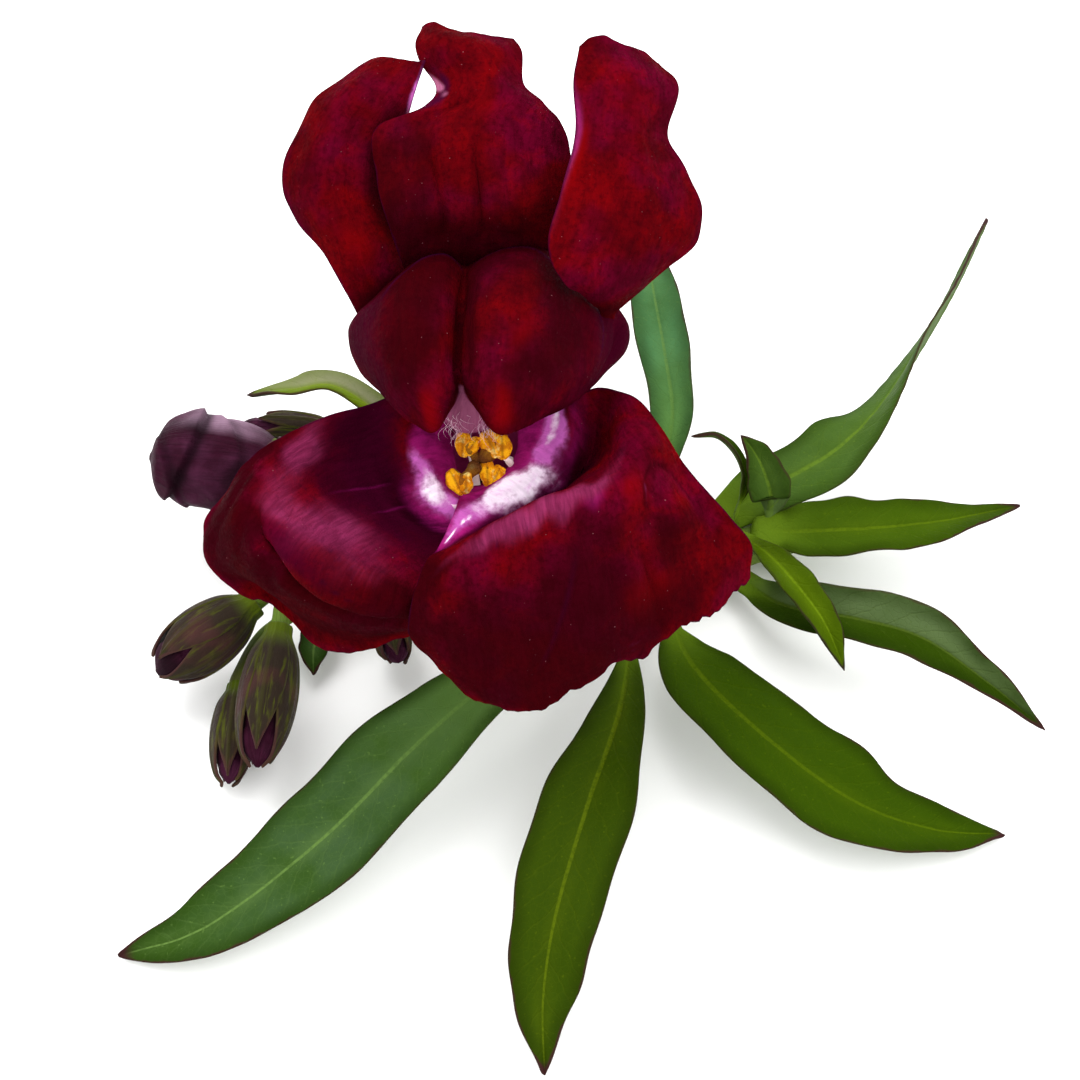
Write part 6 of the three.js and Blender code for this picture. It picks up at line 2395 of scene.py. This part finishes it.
BUDS = (
    Bud("bud_large", (-20.9, 5.5, 8.2), (-31.5, 7.0, 7.8), 3.2, 0.15,
        ((-14.6, 0.7, 4.4), (-17.4, 3.4, 7.0), (-20.2, 5.4, 8.2)),
        (Flap(0.76, 0.14, 1.9, 0.50), Flap(0.84, -0.13, 2.6, 0.30), Flap(0.52, 0.20, 0.9, 0.22)), 301),
    Bud("bud_back", (-18.8, 12.2, 4.4), (-25.9, 12.6, 4.0), 0.8, 0.7,
        ((-16.8, 0.4, 3.8), (-16.4, 6.4, 3.4), (-18.2, 11.9, 4.3)), (Flap(0.85, 0.08, 1.5, 0.08),), 302),
    Bud("bud_left", (-23.4, -4.2, 5.8), (-30.1, -9.0, 4.0), 1.95, 0.88,
        ((-21.2, -2.2, 5.0), (-22.1, -2.9, 5.6), (-22.9, -3.8, 5.8)), (Flap(0.84, 0.08, 1.2, 0.15),), 303),
    Bud("bud_front", (-21.5, -6.6, 6.4), (-22.6, -16.8, 4.6), 1.6, 0.90,
        ((-21.0, -3.4, 4.6), (-21.5, -4.6, 5.8), (-21.5, -6.0, 6.4)), (Flap(0.84, 0.08, 2.0, 0.12),), 304),
    Bud("bud_front_left", (-24.6, -8.8, 2.4), (-24.8, -16.6, 2.0), 1.1, 0.92,
        ((-20.7, -3.1, 3.2), (-23.2, -5.2, 2.6), (-24.5, -8.2, 2.4)), (Flap(0.86, 0.06, 1.0, 0.08),), 305),
    Bud("bud_hidden", (-14.4, -3.2, 3.0), (-13.4, -7.4, 2.9), 0.9, 0.85,
        ((-14.6, -1.9, 3.2), (-14.6, -2.3, 3.1), (-14.5, -2.7, 3.0)), (Flap(0.86, 0.06, 1.0, 0.08),), 306),
)


@dataclass(frozen=True)
class BudCluster:
    """All closed buds of the shoot."""

    buds: tuple[Bud, ...] = BUDS

    def build(self, stem: Stem) -> None:
        """Makes the pieces of each bud."""
        for bud in self.buds:
            bud.build(stem)


# ---- Studio ----


@dataclass(frozen=True)
class Lamp:
    """A square soft light: where it stands and looks, its side in metres and its power in watts."""

    name: str
    place: Place
    target: Place
    side: float
    power: float

    def build(self) -> None:
        """Makes the lamp, turned towards its target."""
        data = bpy.data.lights.new(self.name, "AREA")
        data.size, data.energy = self.side, self.power
        made = linked(self.name, data)
        made.location = self.place
        way = np.array(self.target) - np.array(self.place)
        flat = math.hypot(way[0], way[1])
        made.rotation_euler = (math.atan2(flat, -way[2]), 0.0, math.atan2(way[0], -way[1]) + math.pi)


@dataclass(frozen=True)
class Studio:
    """A white floor and sky, soft lights from above, and the camera, which looks down on the shoot."""

    camera_place: Place = (-0.0040, -0.10395, 0.15715)
    camera_tilt: float = math.radians(35.0)
    lens: float = 86.67
    sensor: float = 36.0
    nearest: float = 0.005
    farthest: float = 20.0
    floor_half: float = 1.5
    floor_white: Colour = (0.94, 0.94, 0.935)
    floor_roughness: float = 0.9
    sky: Colour = (1.0, 1.0, 1.0)
    sky_strength: float = 1.60
    lamps: tuple[Lamp, ...] = (
        Lamp("key_light", (-0.12, 0.22, 0.55), (0.0, 0.0, 0.01), 0.40, 2.6),
        Lamp("fill_light", (0.30, -0.10, 0.50), (0.0, 0.0, 0.01), 0.45, 1.0),
    )

    def camera(self) -> None:
        """Makes the scene's camera, square on to the flower's face."""
        data = bpy.data.cameras.new("camera")
        data.sensor_width, data.lens = self.sensor, self.lens
        data.clip_start, data.clip_end = self.nearest, self.farthest
        made = linked("camera", data)
        made.location = self.camera_place
        made.rotation_euler = (self.camera_tilt, 0.0, 0.0)
        bpy.context.scene.camera = made

    def floor(self) -> None:
        """Makes the floor, a plain white sheet at height 0."""
        half = self.floor_half
        mesh = bpy.data.meshes.new("floor")
        corners = [(-half, -half, 0.0), (half, -half, 0.0), (half, half, 0.0), (-half, half, 0.0)]
        mesh.from_pydata(corners, [], [(0, 1, 2, 3)])
        material = bpy.data.materials.new("floor_white")
        material.use_nodes = True
        inputs = material.node_tree.nodes["Principled BSDF"].inputs
        inputs["Base Color"].default_value = (*self.floor_white, 1.0)
        inputs["Roughness"].default_value = self.floor_roughness
        inputs["Specular IOR Level"].default_value = 0.0
        mesh.materials.append(material)
        linked("floor", mesh)

    def world(self) -> None:
        """Makes the white sky, and shows its colours as they are."""
        sky = bpy.data.worlds.new("sky")
        sky.use_nodes = True
        inputs = sky.node_tree.nodes["Background"].inputs
        inputs["Color"].default_value = (*self.sky, 1.0)
        inputs["Strength"].default_value = self.sky_strength
        bpy.context.scene.world = sky
        bpy.context.scene.view_settings.view_transform = "Standard"

    def build(self) -> None:
        """Makes the whole studio."""
        self.camera()
        self.floor()
        for lamp in self.lamps:
            lamp.build()
        self.world()


def main() -> None:
    """Builds the studio and the shoot in order."""
    logging.basicConfig(level=logging.INFO, format="%(message)s")
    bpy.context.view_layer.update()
    Studio().build()
    stem = Stem()
    stem.build()
    for group in (Foliage(), OpenFlower(), BudCluster()):
        group.build(stem)


if __name__ == "__main__":
    main()
